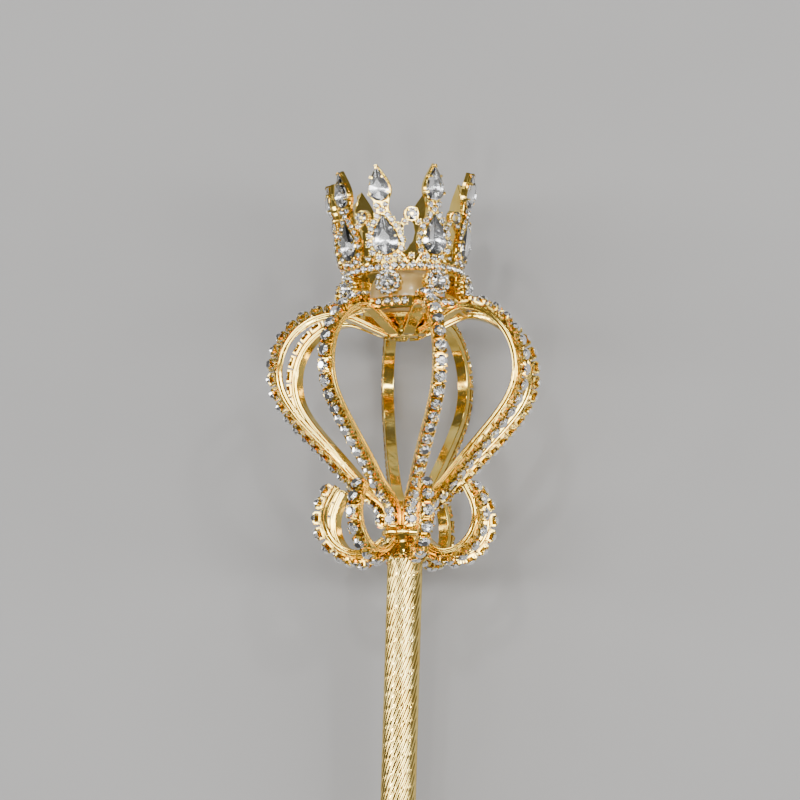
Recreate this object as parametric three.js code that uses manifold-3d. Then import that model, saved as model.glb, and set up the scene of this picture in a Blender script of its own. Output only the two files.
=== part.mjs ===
// A costume sceptre of gold-plated bars and rhinestone chain. A tube carries a cage of eight
// S-shaped bars, eight open scrolls under it, and an openwork crown that stands round a pearl.
// It is drawn upright, the head along +Z and the front towards -Y, and is then laid down,
// head towards +Y and front up, on two cage bars and the knob at its tail.
import * as THREE from "three";
import { mergeVertices } from "three/addons/utils/BufferGeometryUtils.js";
import Module from "manifold-3d";

const manifold = await Module();
manifold.setup();

// Driving dimensions, in millimetres and degrees. Heights count from the neck of the head.

// Shaft and tail.
const SHAFT_LENGTH = 320;
const SHAFT_DIAMETER = 10;
const SHAFT_WALL = 0.9;
const SHAFT_SIDES = 20;
const TURNED_SIDES = 14;
const KNOB_STEPS = 5;
const TAIL_RIM_DIAMETER = 13;
const TAIL_RIM_HEIGHT = 2.4;
const TAIL_RIM_CHAMFER = 0.5;
const TAIL_NECK_DIAMETER = 8.4;
const TAIL_NECK_HEIGHT = 2.6;
const TAIL_KNOB_DIAMETER = 17;
const TAIL_FLAT_DIAMETER = 8;

// Neck collar.
const COLLAR_DIAMETER = 11.2;
const COLLAR_DROP = 7.6;
const COLLAR_FLANGE_DIAMETER = 13.4;
const COLLAR_FLANGE_HEIGHT = 1.4;
const COLLAR_BOSS_DIAMETER = 7.6;
const COLLAR_BOSS_HEIGHT = 7;
const COLLAR_BOSS_CHAMFER = 1.2;

// Flat bar and the rhinestone chain soldered along it.
const BAR_WIDTH = 3.3;
const BAR_THICKNESS = 1.9;
const BAR_SAG = 0.18;
const CHAIN_WIDTH = 3.3;
const CHAIN_HEIGHT = 2.5;
const CHAIN_LINK_WIDTH = 2.3;
const CHAIN_LINK_HEIGHT = 1.2;
const STONE_PITCH = 3.72;
const CHAIN_END_MARGIN = 0.6;

// Cage. Each bar swings sideways by its own angle at the bulge, as hand-bent bars do.
const CAGE_BARS = 8;
const CAGE_BEARING = 11.6;
const CAGE_SWINGS = [3.4, 5.4, -1.6, 4.4, -4.1, 2.4, -6.6, -3.1];
const CAGE_DIAMETER = 79;
const CAGE_BULGE_HEIGHT = 44.6;
const BULGE_UPPER_PULL = 8.5;
const BULGE_LOWER_PULL = 9.5;
const CREST_RADIUS = 19.3;
const CREST_HEIGHT = 61.3;
const CREST_INNER_PULL = 3.4;
const CREST_OUTER_PULL = 9.5;
const DISH_RADIUS = 4.9;
const DISH_DEPTH = 5.7;
const DISH_RISE_ANGLE = 21;
const DISH_PULL = 8.2;
const FLANK_RADIUS = 13.9;
const FLANK_HEIGHT = 13.8;
const FLANK_ANGLE = 42;
const FLANK_UPPER_PULL = 22;
const FLANK_LOWER_PULL = 5;
const NECK_BEND_HEIGHT = 4;
const NECK_BEND_PULL = 4.5;

// Scrolls under the cage.
const SCROLL_BOTTOM_RADIUS = 13.8;
const SCROLL_BOTTOM_DROP = 6.9;
const SCROLL_SIDE_RADIUS = 23.1;
const SCROLL_SIDE_HEIGHT = 2.8;
const SCROLL_TIP_RADIUS = 19.3;
const SCROLL_TIP_HEIGHT = 12;
const SCROLL_TIP_ANGLE = 33;
const SCROLL_ROOT_ANGLE = 41;
const SCROLL_ROOT_PULL = 3;
const SCROLL_BOTTOM_INNER_PULL = 3;
const SCROLL_BOTTOM_OUTER_PULL = 5.2;
const SCROLL_SIDE_LOWER_PULL = 5.4;
const SCROLL_SIDE_UPPER_PULL = 3.2;
const SCROLL_TIP_PULL = 3;
const SCROLL_CHAIN_START = 3.2;

// Hub under the crown, with a cup in which the pearl lies. The rim's angle counts downwards from
// the pearl's middle.
const HUB_DIAMETER = 7.8;
const HUB_HEIGHT = 1.1;
const HUB_EDGE = 0.4;
const CUP_WALL = 0.5;
const CUP_RIM_ANGLE = 34;
const CUP_STEPS = 4;
const HUB_TIP_DIAMETER = 2.4;
const HUB_TIP_HEIGHT = 1;
const PEARL_DIAMETER = 19.8;
const PEARL_ROWS = 8;

// Crown. Its heights count from the lower edge of its rim, above the waist along the wall.
// Each point leans sideways by its own angle, as bent metal does.
const CROWN_POINTS = 8;
const CROWN_BEARING = -14;
const CROWN_SINK = 1;
const POINT_LEANS = [-3.5, -2.5, 0, 0, -5, 2, 0, 3];
const RIM_DIAMETER = 34;
const RIM_WALL = 1.3;
const RIM_HEIGHT = 3.4;
const ROSETTE_DIAMETER = 7.8;
const ROSETTE_HEIGHT = 7.2;
const ROSETTE_THICKNESS = 1.6;
const ROSETTE_STONE_DIAMETER = 4.2;
const ROSETTE_STONE_TABLE = 2.1;
const ROSETTE_STONE_HEIGHT = 1.5;
const WAIST_DIAMETER = 32.2;
const WAIST_HEIGHT = 12;
const WAIST_BAND = 2.2;
const FLARE_ANGLE = 9;
const PLATE_THICKNESS = 1.2;
const PEAR_WIDTH = 7.5;
const PEAR_LENGTH = 11.2;
const PEAR_FOOT = 15.6;
const PEAR_DEPTH = 2.2;
const PEAR_RIM = 1.3;
const PEAR_TIP_RIM = 2.6;
const DROP_WIDTH = 6;
const DROP_LENGTH = 9.8;
const DROP_FOOT = 30.8;
const DROP_DEPTH = 1.8;
const DROP_RIM = 0.35;
const DROP_TIP_RIM = 0.7;
const STEM_WIDTH = 3.6;
const FOOT_WIDTH = 5.2;
const BRIDGE_DIAMETER = 4.4;
const BRIDGE_THICKNESS = 2.4;
const BRIDGE_HEIGHT = 26.6;
const BRIDGE_ARM_WIDTH = 1.5;
const BRIDGE_ARM_THICKNESS = 0.9;
const BRIDGE_ARM_LENGTH = 5.8;
const BRIDGE_ARM_SLOPE = 48;
const RING_SIDES = 24;
const ROUND_SIDES = 8;
const POINT_SIDES = 10;
const STONE_SIDES = 8;

// The cut of a pear stone: how pointed it is, and its girdle, table and middle as shares.
const PEAR_POINTEDNESS = 1.2;
const PEAR_MIDDLE = 0.4;
const STONE_GIRDLE = 0.35;
const STONE_TABLE = 0.55;

// Leans and clearances.
const HEAD_LEAN_LEFT = 1.8;
const CROWN_LEAN_LEFT = 1.7;
const CROWN_LEAN_BACK = 3;
const CLEARANCE = 0.3;
const SEARCH_STEP = 0.25;
const LAY_DOWN_ROUNDS = 12;

const gold = { color: 0xd8a548, metalness: 1, roughness: 0.22 };
const paleGold = { color: 0xe6cf94, metalness: 1, roughness: 0.3 };
const foiledStone = { color: 0xe9edf0, metalness: 0.6, roughness: 0.15 };
const clearStone = { color: 0xf2f5f7, metalness: 0, roughness: 0.05 };
const pearlCoat = { color: 0xefe4cf, metalness: 0, roughness: 0.25 };

const radians = THREE.MathUtils.degToRad;

// Solids: a closed geometry becomes a solid for cutting and joining, and comes back as a geometry.
function solidFrom(geometry) {
  const bare = new THREE.BufferGeometry();
  const flat = geometry.index ? geometry.toNonIndexed() : geometry;
  bare.setAttribute("position", flat.getAttribute("position"));
  const merged = mergeVertices(bare, 1e-4);
  const mesh = new manifold.Mesh({
    numProp: 3,
    vertProperties: merged.attributes.position.array,
    triVerts: new Uint32Array(merged.index.array),
  });
  return new manifold.Manifold(mesh);
}

function geometryFrom(solid) {
  const mesh = solid.getMesh();
  const geometry = new THREE.BufferGeometry();
  geometry.setAttribute("position", new THREE.BufferAttribute(mesh.vertProperties, 3));
  geometry.setIndex(new THREE.BufferAttribute(mesh.triVerts, 1));
  geometry.computeVertexNormals();
  return geometry;
}

function joined(geometries) {
  return geometries.map(solidFrom).reduce((whole, next) => whole.add(next));
}

function piece(name, geometry, finish) {
  const mesh = new THREE.Mesh(geometry, new THREE.MeshStandardMaterial(finish));
  mesh.name = name;
  return mesh;
}

// A turned shape round +Z from [radius, height] points, listed from the bottom up.
function turned(points, sides) {
  const profile = points.map(([radius, height]) => new THREE.Vector2(radius, height));
  return new THREE.LatheGeometry(profile, sides).rotateX(Math.PI / 2);
}

// Directions round the axis: bearing 0 is the front, and it grows towards the right.
function outwardAt(bearing) {
  const angle = radians(bearing);
  return new THREE.Vector3(Math.sin(angle), -Math.cos(angle), 0);
}

const UP = new THREE.Vector3(0, 0, 1);

// A cubic bend from one point to another, each with a heading in degrees from straight out,
// counted upwards, and the length of its pull.
function bend(path, from, to) {
  const start = path.currentPoint;
  const leave = radians(from.heading);
  const arrive = radians(to.heading);
  path.bezierCurveTo(
    start.x + from.pull * Math.cos(leave),
    start.y + from.pull * Math.sin(leave),
    to.radius - to.pull * Math.cos(arrive),
    to.height - to.pull * Math.sin(arrive),
    to.radius,
    to.height,
  );
}

// How far the crown's tilted seat lifts a point at a bearing and radius above a level seat.
function seatRise(bearing, radius) {
  const spot = outwardAt(bearing).multiplyScalar(radius);
  const back = Math.tan(radians(CROWN_LEAN_BACK));
  const left = Math.tan(radians(CROWN_LEAN_LEFT));
  return -spot.y * back + spot.x * left;
}

const bulgeRadius = CAGE_DIAMETER / 2 - CHAIN_HEIGHT - CLEARANCE - BAR_THICKNESS / 2;
const neckRadius = COLLAR_BOSS_DIAMETER / 2 + CLEARANCE + BAR_THICKNESS / 2;
const flangeTop = -CLEARANCE;

// The middle line of a cage bar, from the hub over the crest and the bulge down to the neck.
function cagePath(bearing) {
  const crestHeight = CREST_HEIGHT + seatRise(bearing, CREST_RADIUS);
  const dishHeight = CREST_HEIGHT - DISH_DEPTH + seatRise(bearing, DISH_RADIUS);
  const flankHeading = -90 - FLANK_ANGLE;
  const path = new THREE.Path();
  path.moveTo(DISH_RADIUS, dishHeight);
  bend(
    path,
    { heading: DISH_RISE_ANGLE, pull: DISH_PULL },
    { heading: 0, pull: CREST_INNER_PULL, radius: CREST_RADIUS, height: crestHeight },
  );
  bend(
    path,
    { heading: 0, pull: CREST_OUTER_PULL },
    { heading: -90, pull: BULGE_UPPER_PULL, radius: bulgeRadius, height: CAGE_BULGE_HEIGHT },
  );
  bend(
    path,
    { heading: -90, pull: BULGE_LOWER_PULL },
    {
      heading: flankHeading,
      pull: FLANK_UPPER_PULL,
      radius: FLANK_RADIUS,
      height: FLANK_HEIGHT,
    },
  );
  bend(
    path,
    { heading: flankHeading, pull: FLANK_LOWER_PULL },
    { heading: -90, pull: NECK_BEND_PULL, radius: neckRadius, height: NECK_BEND_HEIGHT },
  );
  path.lineTo(neckRadius, flangeTop + CLEARANCE);
  return path;
}

// The middle line of a scroll, from the collar down, out, up and in to its free tip.
function scrollPath() {
  const rootHeading = -SCROLL_ROOT_ANGLE;
  const rootRadius =
    COLLAR_DIAMETER / 2 + CLEARANCE + (BAR_THICKNESS / 2) * Math.sin(radians(SCROLL_ROOT_ANGLE));
  const rootDrop = COLLAR_FLANGE_HEIGHT + 2 * CLEARANCE + BAR_THICKNESS / 2;
  const path = new THREE.Path();
  path.moveTo(rootRadius, -rootDrop);
  bend(
    path,
    { heading: rootHeading, pull: SCROLL_ROOT_PULL },
    {
      heading: 0,
      pull: SCROLL_BOTTOM_INNER_PULL,
      radius: SCROLL_BOTTOM_RADIUS,
      height: -SCROLL_BOTTOM_DROP,
    },
  );
  bend(
    path,
    { heading: 0, pull: SCROLL_BOTTOM_OUTER_PULL },
    {
      heading: 90,
      pull: SCROLL_SIDE_LOWER_PULL,
      radius: SCROLL_SIDE_RADIUS,
      height: SCROLL_SIDE_HEIGHT,
    },
  );
  bend(
    path,
    { heading: 90, pull: SCROLL_SIDE_UPPER_PULL },
    {
      heading: 90 + SCROLL_TIP_ANGLE,
      pull: SCROLL_TIP_PULL,
      radius: SCROLL_TIP_RADIUS,
      height: SCROLL_TIP_HEIGHT,
    },
  );
  return path;
}

// Stations along a path at given lengths. The face normal is a quarter turn left of the run
// for a cage bar and right of it for a scroll, so it always points to the side with stones.
function stationsAt(path, lengths, bearingAt, turn) {
  const total = path.getLength();
  return lengths.map((length) => {
    const spot = path.getPointAt(length / total);
    const run = path.getTangentAt(length / total);
    const outward = outwardAt(bearingAt(spot.x, length / total));
    const place = outward.clone().multiplyScalar(spot.x).addScaledVector(UP, spot.y);
    const face = outward.clone().multiplyScalar(-turn * run.y).addScaledVector(UP, turn * run.x);
    const along = outward.clone().multiplyScalar(run.x).addScaledVector(UP, run.y);
    const side = new THREE.Vector3().crossVectors(face, along).normalize();
    return { place, face, side, run, length };
  });
}

// A four-sided bar through the stations. Each section gives its width and its lower and upper
// distance along the face normal.
function bar(stations, sectionAt) {
  const corners = [];
  const faces = [];
  stations.forEach((station, index) => {
    const { width, low, high } = sectionAt(index, station);
    const spans = [
      [-width / 2, low],
      [width / 2, low],
      [width / 2, high],
      [-width / 2, high],
    ];
    for (const [across, up] of spans) {
      const corner = station.place.clone();
      corner.addScaledVector(station.side, across).addScaledVector(station.face, up);
      corners.push(...corner.toArray());
    }
    if (index === 0) return;
    const here = index * 4;
    const before = here - 4;
    for (let edge = 0; edge < 4; edge += 1) {
      const next = (edge + 1) % 4;
      faces.push(before + edge, before + next, here + next);
      faces.push(before + edge, here + next, here + edge);
    }
  });
  const last = (stations.length - 1) * 4;
  faces.push(0, 2, 1, 0, 3, 2);
  faces.push(last, last + 1, last + 2, last, last + 2, last + 3);
  const geometry = new THREE.BufferGeometry();
  geometry.setAttribute("position", new THREE.Float32BufferAttribute(corners, 3));
  geometry.setIndex(faces);
  geometry.computeVertexNormals();
  return geometry;
}

// Lengths for a bar's stations, each as far on as a chord may sag from the path. A chord sags by
// an eighth of its length times the turn along it.
function barLengths(path) {
  const total = path.getLength();
  const kept = [0];
  let heading = path.getTangentAt(0);
  let turn = 0;
  for (let length = SEARCH_STEP; length < total; length += SEARCH_STEP) {
    const run = path.getTangentAt(length / total);
    turn += Math.abs(Math.asin(heading.cross(run)));
    heading = run;
    if (((length - kept.at(-1)) * turn) / 8 > BAR_SAG) {
      kept.push(length);
      turn = 0;
    }
  }
  kept.push(total);
  return kept;
}

function barSection(extra = 0) {
  return () => ({
    width: BAR_WIDTH + 2 * extra,
    low: -BAR_THICKNESS / 2 - extra,
    high: BAR_THICKNESS / 2 + extra,
  });
}

// The chain: high and wide at each stone, low and narrow at each link between two stones. Its
// pitch gives way a little, so that whole stones fill the bar.
function chainGeometry(path, bearingAt, turn, start) {
  const room = path.getLength() - start - CHAIN_END_MARGIN;
  const stones = Math.round(room / STONE_PITCH);
  const pitch = room / stones;
  const lengths = [];
  for (let half = 0; half <= 2 * stones; half += 1) {
    lengths.push(start + (half * pitch) / 2);
  }
  const foot = BAR_THICKNESS / 2 + CLEARANCE;
  return bar(stationsAt(path, lengths, bearingAt, turn), (index) => {
    const stone = index % 2 === 1;
    return {
      width: stone ? CHAIN_WIDTH : CHAIN_LINK_WIDTH,
      low: foot,
      high: foot + (stone ? CHAIN_HEIGHT : CHAIN_LINK_HEIGHT),
    };
  });
}

// The bearing of a cage bar: even at hub and neck, swung by its own angle at the bulge.
function cageBearing(index) {
  const even = CAGE_BEARING + (360 / CAGE_BARS) * index;
  const swing = CAGE_SWINGS[index % CAGE_SWINGS.length];
  return (radius) => {
    const share = (radius - neckRadius) / (bulgeRadius - neckRadius);
    return even + swing * THREE.MathUtils.smoothstep(share, 0, 1);
  };
}

// A scroll takes the swing of the cage bar above it over its length.
function scrollBearing(index) {
  const even = CAGE_BEARING + (360 / CAGE_BARS) * index;
  const swing = CAGE_SWINGS[index % CAGE_SWINGS.length];
  return (radius, share) => even + swing * THREE.MathUtils.smoothstep(share, 0, 1);
}

// The chain starts where the path has come past the crown's rim.
function chainStart(path) {
  const clear = RIM_DIAMETER / 2 + ROSETTE_THICKNESS + CLEARANCE;
  const total = path.getLength();
  let length = 0;
  while (length < total && path.getPointAt(length / total).x < clear) {
    length += SEARCH_STEP;
  }
  return length;
}

function cage() {
  const group = new THREE.Group();
  const notches = [];
  for (let index = 0; index < CAGE_BARS; index += 1) {
    const bearingAt = cageBearing(index);
    const path = cagePath(bearingAt(CREST_RADIUS));
    const stations = stationsAt(path, barLengths(path), bearingAt, 1);
    const label = index + 1;
    group.add(piece(`cage_bar_${label}`, bar(stations, barSection()), gold));
    const chain = chainGeometry(path, bearingAt, 1, chainStart(path));
    group.add(piece(`cage_chain_${label}`, chain, foiledStone));
    notches.push(bar(stations, barSection(CLEARANCE)));
  }
  return { group, notches };
}

function scrolls() {
  const group = new THREE.Group();
  for (let index = 0; index < CAGE_BARS; index += 1) {
    const bearingAt = scrollBearing(index);
    const path = scrollPath();
    const stations = stationsAt(path, barLengths(path), bearingAt, -1);
    const label = index + 1;
    group.add(piece(`scroll_bar_${label}`, bar(stations, barSection()), gold));
    const chain = chainGeometry(path, bearingAt, -1, SCROLL_CHAIN_START);
    group.add(piece(`scroll_chain_${label}`, chain, foiledStone));
  }
  return group;
}

// A pear-shaped outline with its point up and its foot at height 0, from the point round by the
// left to the foot and back by the right. It narrows with the sine of half the angle.
function pearOutline(width, length, sides) {
  const narrowed = (angle) => Math.sin(angle) * Math.sin(angle / 2) ** PEAR_POINTEDNESS;
  const steps = Array.from({ length: sides }, (none, step) => (2 * Math.PI * step) / sides);
  const widest = Math.max(...steps.map(narrowed));
  return steps.map((angle) => {
    const across = (-narrowed(angle) / widest) * (width / 2);
    return new THREE.Vector2(across, ((1 + Math.cos(angle)) / 2) * length);
  });
}

function plate(shape, thickness) {
  return new THREE.ExtrudeGeometry(shape, { depth: thickness, bevelEnabled: false });
}

// A pear-cut stone: a girdle, a smaller flat table in front and a shallow back.
function pearStone(width, length, depth, sides) {
  const outline = pearOutline(width, length, sides);
  const middle = new THREE.Vector2(0, length * PEAR_MIDDLE);
  const layers = [
    { scale: 1, rise: 0 },
    { scale: 1, rise: depth * STONE_GIRDLE },
    { scale: STONE_TABLE, rise: depth },
  ];
  const corners = [];
  const faces = [];
  layers.forEach(({ scale, rise }, layer) => {
    for (const point of outline) {
      const moved = point.clone().sub(middle).multiplyScalar(scale).add(middle);
      corners.push(moved.x, moved.y, rise);
    }
    if (layer === 0) return;
    for (let side = 0; side < sides; side += 1) {
      const next = (side + 1) % sides;
      const here = layer * sides;
      const before = here - sides;
      faces.push(before + side, before + next, here + next);
      faces.push(before + side, here + next, here + side);
    }
  });
  const back = corners.length / 3;
  corners.push(middle.x, middle.y, 0, middle.x, middle.y, depth);
  const top = (layers.length - 1) * sides;
  for (let side = 0; side < sides; side += 1) {
    const next = (side + 1) % sides;
    faces.push(back, next, side);
    faces.push(back + 1, top + side, top + next);
  }
  const geometry = new THREE.BufferGeometry();
  geometry.setAttribute("position", new THREE.Float32BufferAttribute(corners, 3));
  geometry.setIndex(faces);
  geometry.computeVertexNormals();
  return geometry;
}

// Moves a flat shape, drawn with x across, y up and z out, to the crown's wall.
function onCrown(geometry, bearing, radius, height, flare) {
  const outward = outwardAt(bearing);
  const across = new THREE.Vector3().crossVectors(UP, outward);
  const tilt = radians(flare);
  const up = UP.clone().multiplyScalar(Math.cos(tilt)).addScaledVector(outward, Math.sin(tilt));
  const out = new THREE.Vector3().crossVectors(across, up);
  const place = outward.clone().multiplyScalar(radius).addScaledVector(UP, height);
  const matrix = new THREE.Matrix4().makeBasis(across, up, out).setPosition(place);
  return geometry.clone().applyMatrix4(matrix);
}

// The inner face of the crown's wall above the waist.
function flareRadius(height) {
  const above = height - WAIST_HEIGHT;
  return WAIST_DIAMETER / 2 - RIM_WALL + above * Math.tan(radians(FLARE_ANGLE));
}

function ring(diameter, wall, bottom, top, sides) {
  const outer = diameter / 2;
  const inner = outer - wall;
  const profile = [
    [inner, bottom],
    [outer, bottom],
    [outer, top],
    [inner, top],
    [inner, bottom],
  ];
  return turned(profile, sides);
}

function disc(diameter, thickness, sides) {
  return new THREE.CylinderGeometry(diameter / 2, diameter / 2, thickness, sides)
    .rotateX(Math.PI / 2)
    .translate(0, 0, thickness / 2);
}

// Moves a flat shape, drawn with its foot at the waist, to a point of the crown that leans.
function onPoint(geometry, index) {
  const bearing = CROWN_BEARING + (360 / CROWN_POINTS) * index;
  const leaning = geometry.clone().rotateZ(radians(-POINT_LEANS[index % POINT_LEANS.length]));
  return onCrown(leaning, bearing, flareRadius(WAIST_HEIGHT), WAIST_HEIGHT, FLARE_ANGLE);
}

// One point of the crown as one plate, from the waist up: its foot, the leaf behind the pear
// stone, the stem and the plate of the upper drop. What is narrower than the stem is the stem.
function pointPlate() {
  const leafLength = PEAR_LENGTH + PEAR_RIM + PEAR_TIP_RIM;
  const tipLength = DROP_LENGTH + DROP_RIM + DROP_TIP_RIM;
  const leafFoot = PEAR_FOOT - PEAR_RIM - WAIST_HEIGHT;
  const tipFoot = DROP_FOOT - DROP_RIM - WAIST_HEIGHT;
  const raised = (points, foot) =>
    points
      .filter((point) => point.x > STEM_WIDTH / 2)
      .map((point) => new THREE.Vector2(point.x, point.y + foot));
  const side = [
    new THREE.Vector2(FOOT_WIDTH / 2, 0),
    ...raised(pearOutline(PEAR_WIDTH + 2 * PEAR_RIM, leafLength, POINT_SIDES), leafFoot),
    new THREE.Vector2(STEM_WIDTH / 2, (leafFoot + leafLength + tipFoot) / 2),
    ...raised(pearOutline(DROP_WIDTH + 2 * DROP_RIM, tipLength, POINT_SIDES), tipFoot),
  ];
  const point = new THREE.Vector2(0, tipFoot + tipLength);
  const mirrored = side.map((spot) => new THREE.Vector2(-spot.x, spot.y)).reverse();
  return plate(new THREE.Shape([...side, point, ...mirrored]), PLATE_THICKNESS);
}

// The round setting between two points, on a bent strip whose arms slope down to each of them.
function crownBridge(bearing) {
  const slope = radians(BRIDGE_ARM_SLOPE);
  const half = BRIDGE_ARM_WIDTH / 2;
  const reach = new THREE.Vector2(Math.cos(slope), -Math.sin(slope));
  const edge = new THREE.Vector2(Math.sin(slope), Math.cos(slope)).multiplyScalar(half);
  const end = reach.clone().multiplyScalar(BRIDGE_ARM_LENGTH);
  const upper = end.clone().add(edge);
  const lower = end.clone().sub(edge);
  const strip = new THREE.Shape([
    new THREE.Vector2(0, -half / Math.cos(slope)),
    lower,
    upper,
    new THREE.Vector2(0, half / Math.cos(slope)),
    new THREE.Vector2(-upper.x, upper.y),
    new THREE.Vector2(-lower.x, lower.y),
  ]);
  const parts = [
    plate(strip, BRIDGE_ARM_THICKNESS),
    disc(BRIDGE_DIAMETER, BRIDGE_THICKNESS, ROUND_SIDES),
  ];
  const radius = flareRadius(BRIDGE_HEIGHT);
  return parts.map((part) => onCrown(part, bearing, radius, BRIDGE_HEIGHT, FLARE_ANGLE));
}

// A round setting on the rim with its stone, turned in one.
function rosette(bearing) {
  const setting = ROSETTE_DIAMETER / 2;
  const seat = RIM_WALL + ROSETTE_THICKNESS;
  const profile = [
    [0, 0],
    [setting, 0],
    [setting, seat],
    [ROSETTE_STONE_DIAMETER / 2, seat],
    [ROSETTE_STONE_TABLE / 2, seat + ROSETTE_STONE_HEIGHT],
    [0, seat + ROSETTE_STONE_HEIGHT],
  ];
  const wall = RIM_DIAMETER / 2 - RIM_WALL;
  return onCrown(turned(profile, ROUND_SIDES), bearing, wall, ROSETTE_HEIGHT, 0);
}

function crown(notches) {
  const group = new THREE.Group();
  const bandFoot = WAIST_HEIGHT - WAIST_BAND / 2;
  const rim = ring(RIM_DIAMETER, RIM_WALL, 0, RIM_HEIGHT, RING_SIDES);
  const waist = ring(WAIST_DIAMETER, RIM_WALL, bandFoot, bandFoot + WAIST_BAND, RING_SIDES);
  const parts = [rim, waist].map((hoop) => hoop.rotateZ(radians(CROWN_BEARING)));
  const step = 360 / CROWN_POINTS;
  const leaf = pointPlate();
  const seat = PLATE_THICKNESS + CLEARANCE;
  const pear = pearStone(PEAR_WIDTH, PEAR_LENGTH, PEAR_DEPTH, STONE_SIDES);
  pear.translate(0, PEAR_FOOT - WAIST_HEIGHT, seat);
  const drop = pearStone(DROP_WIDTH, DROP_LENGTH, DROP_DEPTH, STONE_SIDES);
  drop.translate(0, DROP_FOOT - WAIST_HEIGHT, seat);
  for (let index = 0; index < CROWN_POINTS; index += 1) {
    const bearing = CROWN_BEARING + step * index;
    parts.push(rosette(bearing), onPoint(leaf, index), ...crownBridge(bearing + step / 2));
    group.add(piece(`crown_pear_stone_${index + 1}`, onPoint(pear, index), clearStone));
    group.add(piece(`crown_tip_stone_${index + 1}`, onPoint(drop, index), clearStone));
  }
  group.position.z = CREST_HEIGHT - CROWN_SINK;
  group.rotation.set(radians(-CROWN_LEAN_BACK), radians(-CROWN_LEAN_LEFT), 0);
  group.updateMatrix();
  const cutters = notches.map((notch) =>
    solidFrom(notch.clone().applyMatrix4(group.matrix.clone().invert())),
  );
  let frame = joined(parts);
  for (const cutter of cutters) frame = frame.subtract(cutter);
  group.add(piece("crown_frame", geometryFrom(frame), gold));
  return group;
}

function collar() {
  const barrel = COLLAR_DIAMETER / 2;
  const flange = COLLAR_FLANGE_DIAMETER / 2;
  const boss = COLLAR_BOSS_DIAMETER / 2;
  const top = flangeTop + COLLAR_BOSS_HEIGHT;
  const profile = [
    [0, -COLLAR_DROP],
    [barrel, -COLLAR_DROP],
    [barrel, flangeTop - COLLAR_FLANGE_HEIGHT],
    [flange, flangeTop - COLLAR_FLANGE_HEIGHT],
    [flange, flangeTop],
    [boss, flangeTop],
    [boss, top - COLLAR_BOSS_CHAMFER],
    [boss - COLLAR_BOSS_CHAMFER, top],
    [0, top],
  ];
  return piece("neck_collar", turned(profile, TURNED_SIDES), gold);
}

// The hub closes the middle of the dish, between the ends of the eight bars, and carries the cup.
function hub() {
  const end = DISH_RADIUS - (BAR_THICKNESS / 2) * Math.sin(radians(DISH_RISE_ANGLE));
  const radius = Math.min(HUB_DIAMETER / 2, end - CLEARANCE);
  const tip = HUB_TIP_DIAMETER / 2;
  const middle = pearlHeight();
  const inner = PEARL_DIAMETER / 2 + CLEARANCE;
  const outer = inner + CUP_WALL;
  const base = middle - outer - HUB_HEIGHT;
  const profile = [
    [0, base - HUB_TIP_HEIGHT],
    [tip, base - HUB_TIP_HEIGHT / 2],
    [tip, base],
    [radius, base + HUB_EDGE],
  ];
  const rimAngle = -radians(CUP_RIM_ANGLE);
  const hubAngle = -Math.acos(radius / outer);
  const foot = -Math.PI / 2;
  for (let step = 0; step <= CUP_STEPS; step += 1) {
    const angle = THREE.MathUtils.lerp(hubAngle, rimAngle, step / CUP_STEPS);
    profile.push([outer * Math.cos(angle), middle + outer * Math.sin(angle)]);
  }
  for (let step = 0; step < CUP_STEPS; step += 1) {
    const angle = THREE.MathUtils.lerp(rimAngle, foot, step / CUP_STEPS);
    profile.push([inner * Math.cos(angle), middle + inner * Math.sin(angle)]);
  }
  profile.push([0, middle - inner]);
  return piece("crown_hub", turned(profile, TURNED_SIDES), gold);
}

// The pearl's cup rests on the upper corners of the bars' inner ends.
function pearlHeight() {
  const rise = radians(DISH_RISE_ANGLE);
  const endRadius = DISH_RADIUS - (BAR_THICKNESS / 2) * Math.sin(rise);
  const endHeight = CREST_HEIGHT - DISH_DEPTH + (BAR_THICKNESS / 2) * Math.cos(rise);
  const reach = PEARL_DIAMETER / 2 + CUP_WALL + 2 * CLEARANCE;
  return endHeight + Math.sqrt(reach ** 2 - endRadius ** 2);
}

function pearl() {
  const ball = new THREE.SphereGeometry(PEARL_DIAMETER / 2, TURNED_SIDES, PEARL_ROWS);
  ball.rotateX(Math.PI / 2);
  ball.translate(0, 0, pearlHeight());
  return piece("pearl", ball, pearlCoat);
}

const shaftTop = -COLLAR_DROP - CLEARANCE - (COLLAR_DIAMETER / 2) * Math.sin(radians(HEAD_LEAN_LEFT));

function shaft() {
  const tube = ring(SHAFT_DIAMETER, SHAFT_WALL, shaftTop - SHAFT_LENGTH, shaftTop, SHAFT_SIDES);
  return piece("shaft", tube, paleGold);
}

// A turned cap with a round knob, cut flat at its end.
function tail() {
  const top = shaftTop - SHAFT_LENGTH - CLEARANCE;
  const rimRadius = TAIL_RIM_DIAMETER / 2;
  const neck = TAIL_NECK_DIAMETER / 2;
  const knob = TAIL_KNOB_DIAMETER / 2;
  const flat = TAIL_FLAT_DIAMETER / 2;
  const neckBottom = top - TAIL_RIM_HEIGHT - TAIL_NECK_HEIGHT;
  const centre = neckBottom - Math.sqrt(knob ** 2 - neck ** 2);
  const startAngle = -Math.acos(flat / knob);
  const endAngle = Math.acos(neck / knob);
  const profile = [[0, centre + knob * Math.sin(startAngle)]];
  for (let step = 0; step <= KNOB_STEPS; step += 1) {
    const angle = THREE.MathUtils.lerp(startAngle, endAngle, step / KNOB_STEPS);
    profile.push([knob * Math.cos(angle), centre + knob * Math.sin(angle)]);
  }
  profile.push([neck, top - TAIL_RIM_HEIGHT]);
  profile.push([rimRadius, top - TAIL_RIM_HEIGHT + TAIL_RIM_CHAMFER]);
  profile.push([rimRadius, top]);
  profile.push([0, top]);
  return piece("tail_knob", turned(profile, TURNED_SIDES), gold);
}

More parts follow.
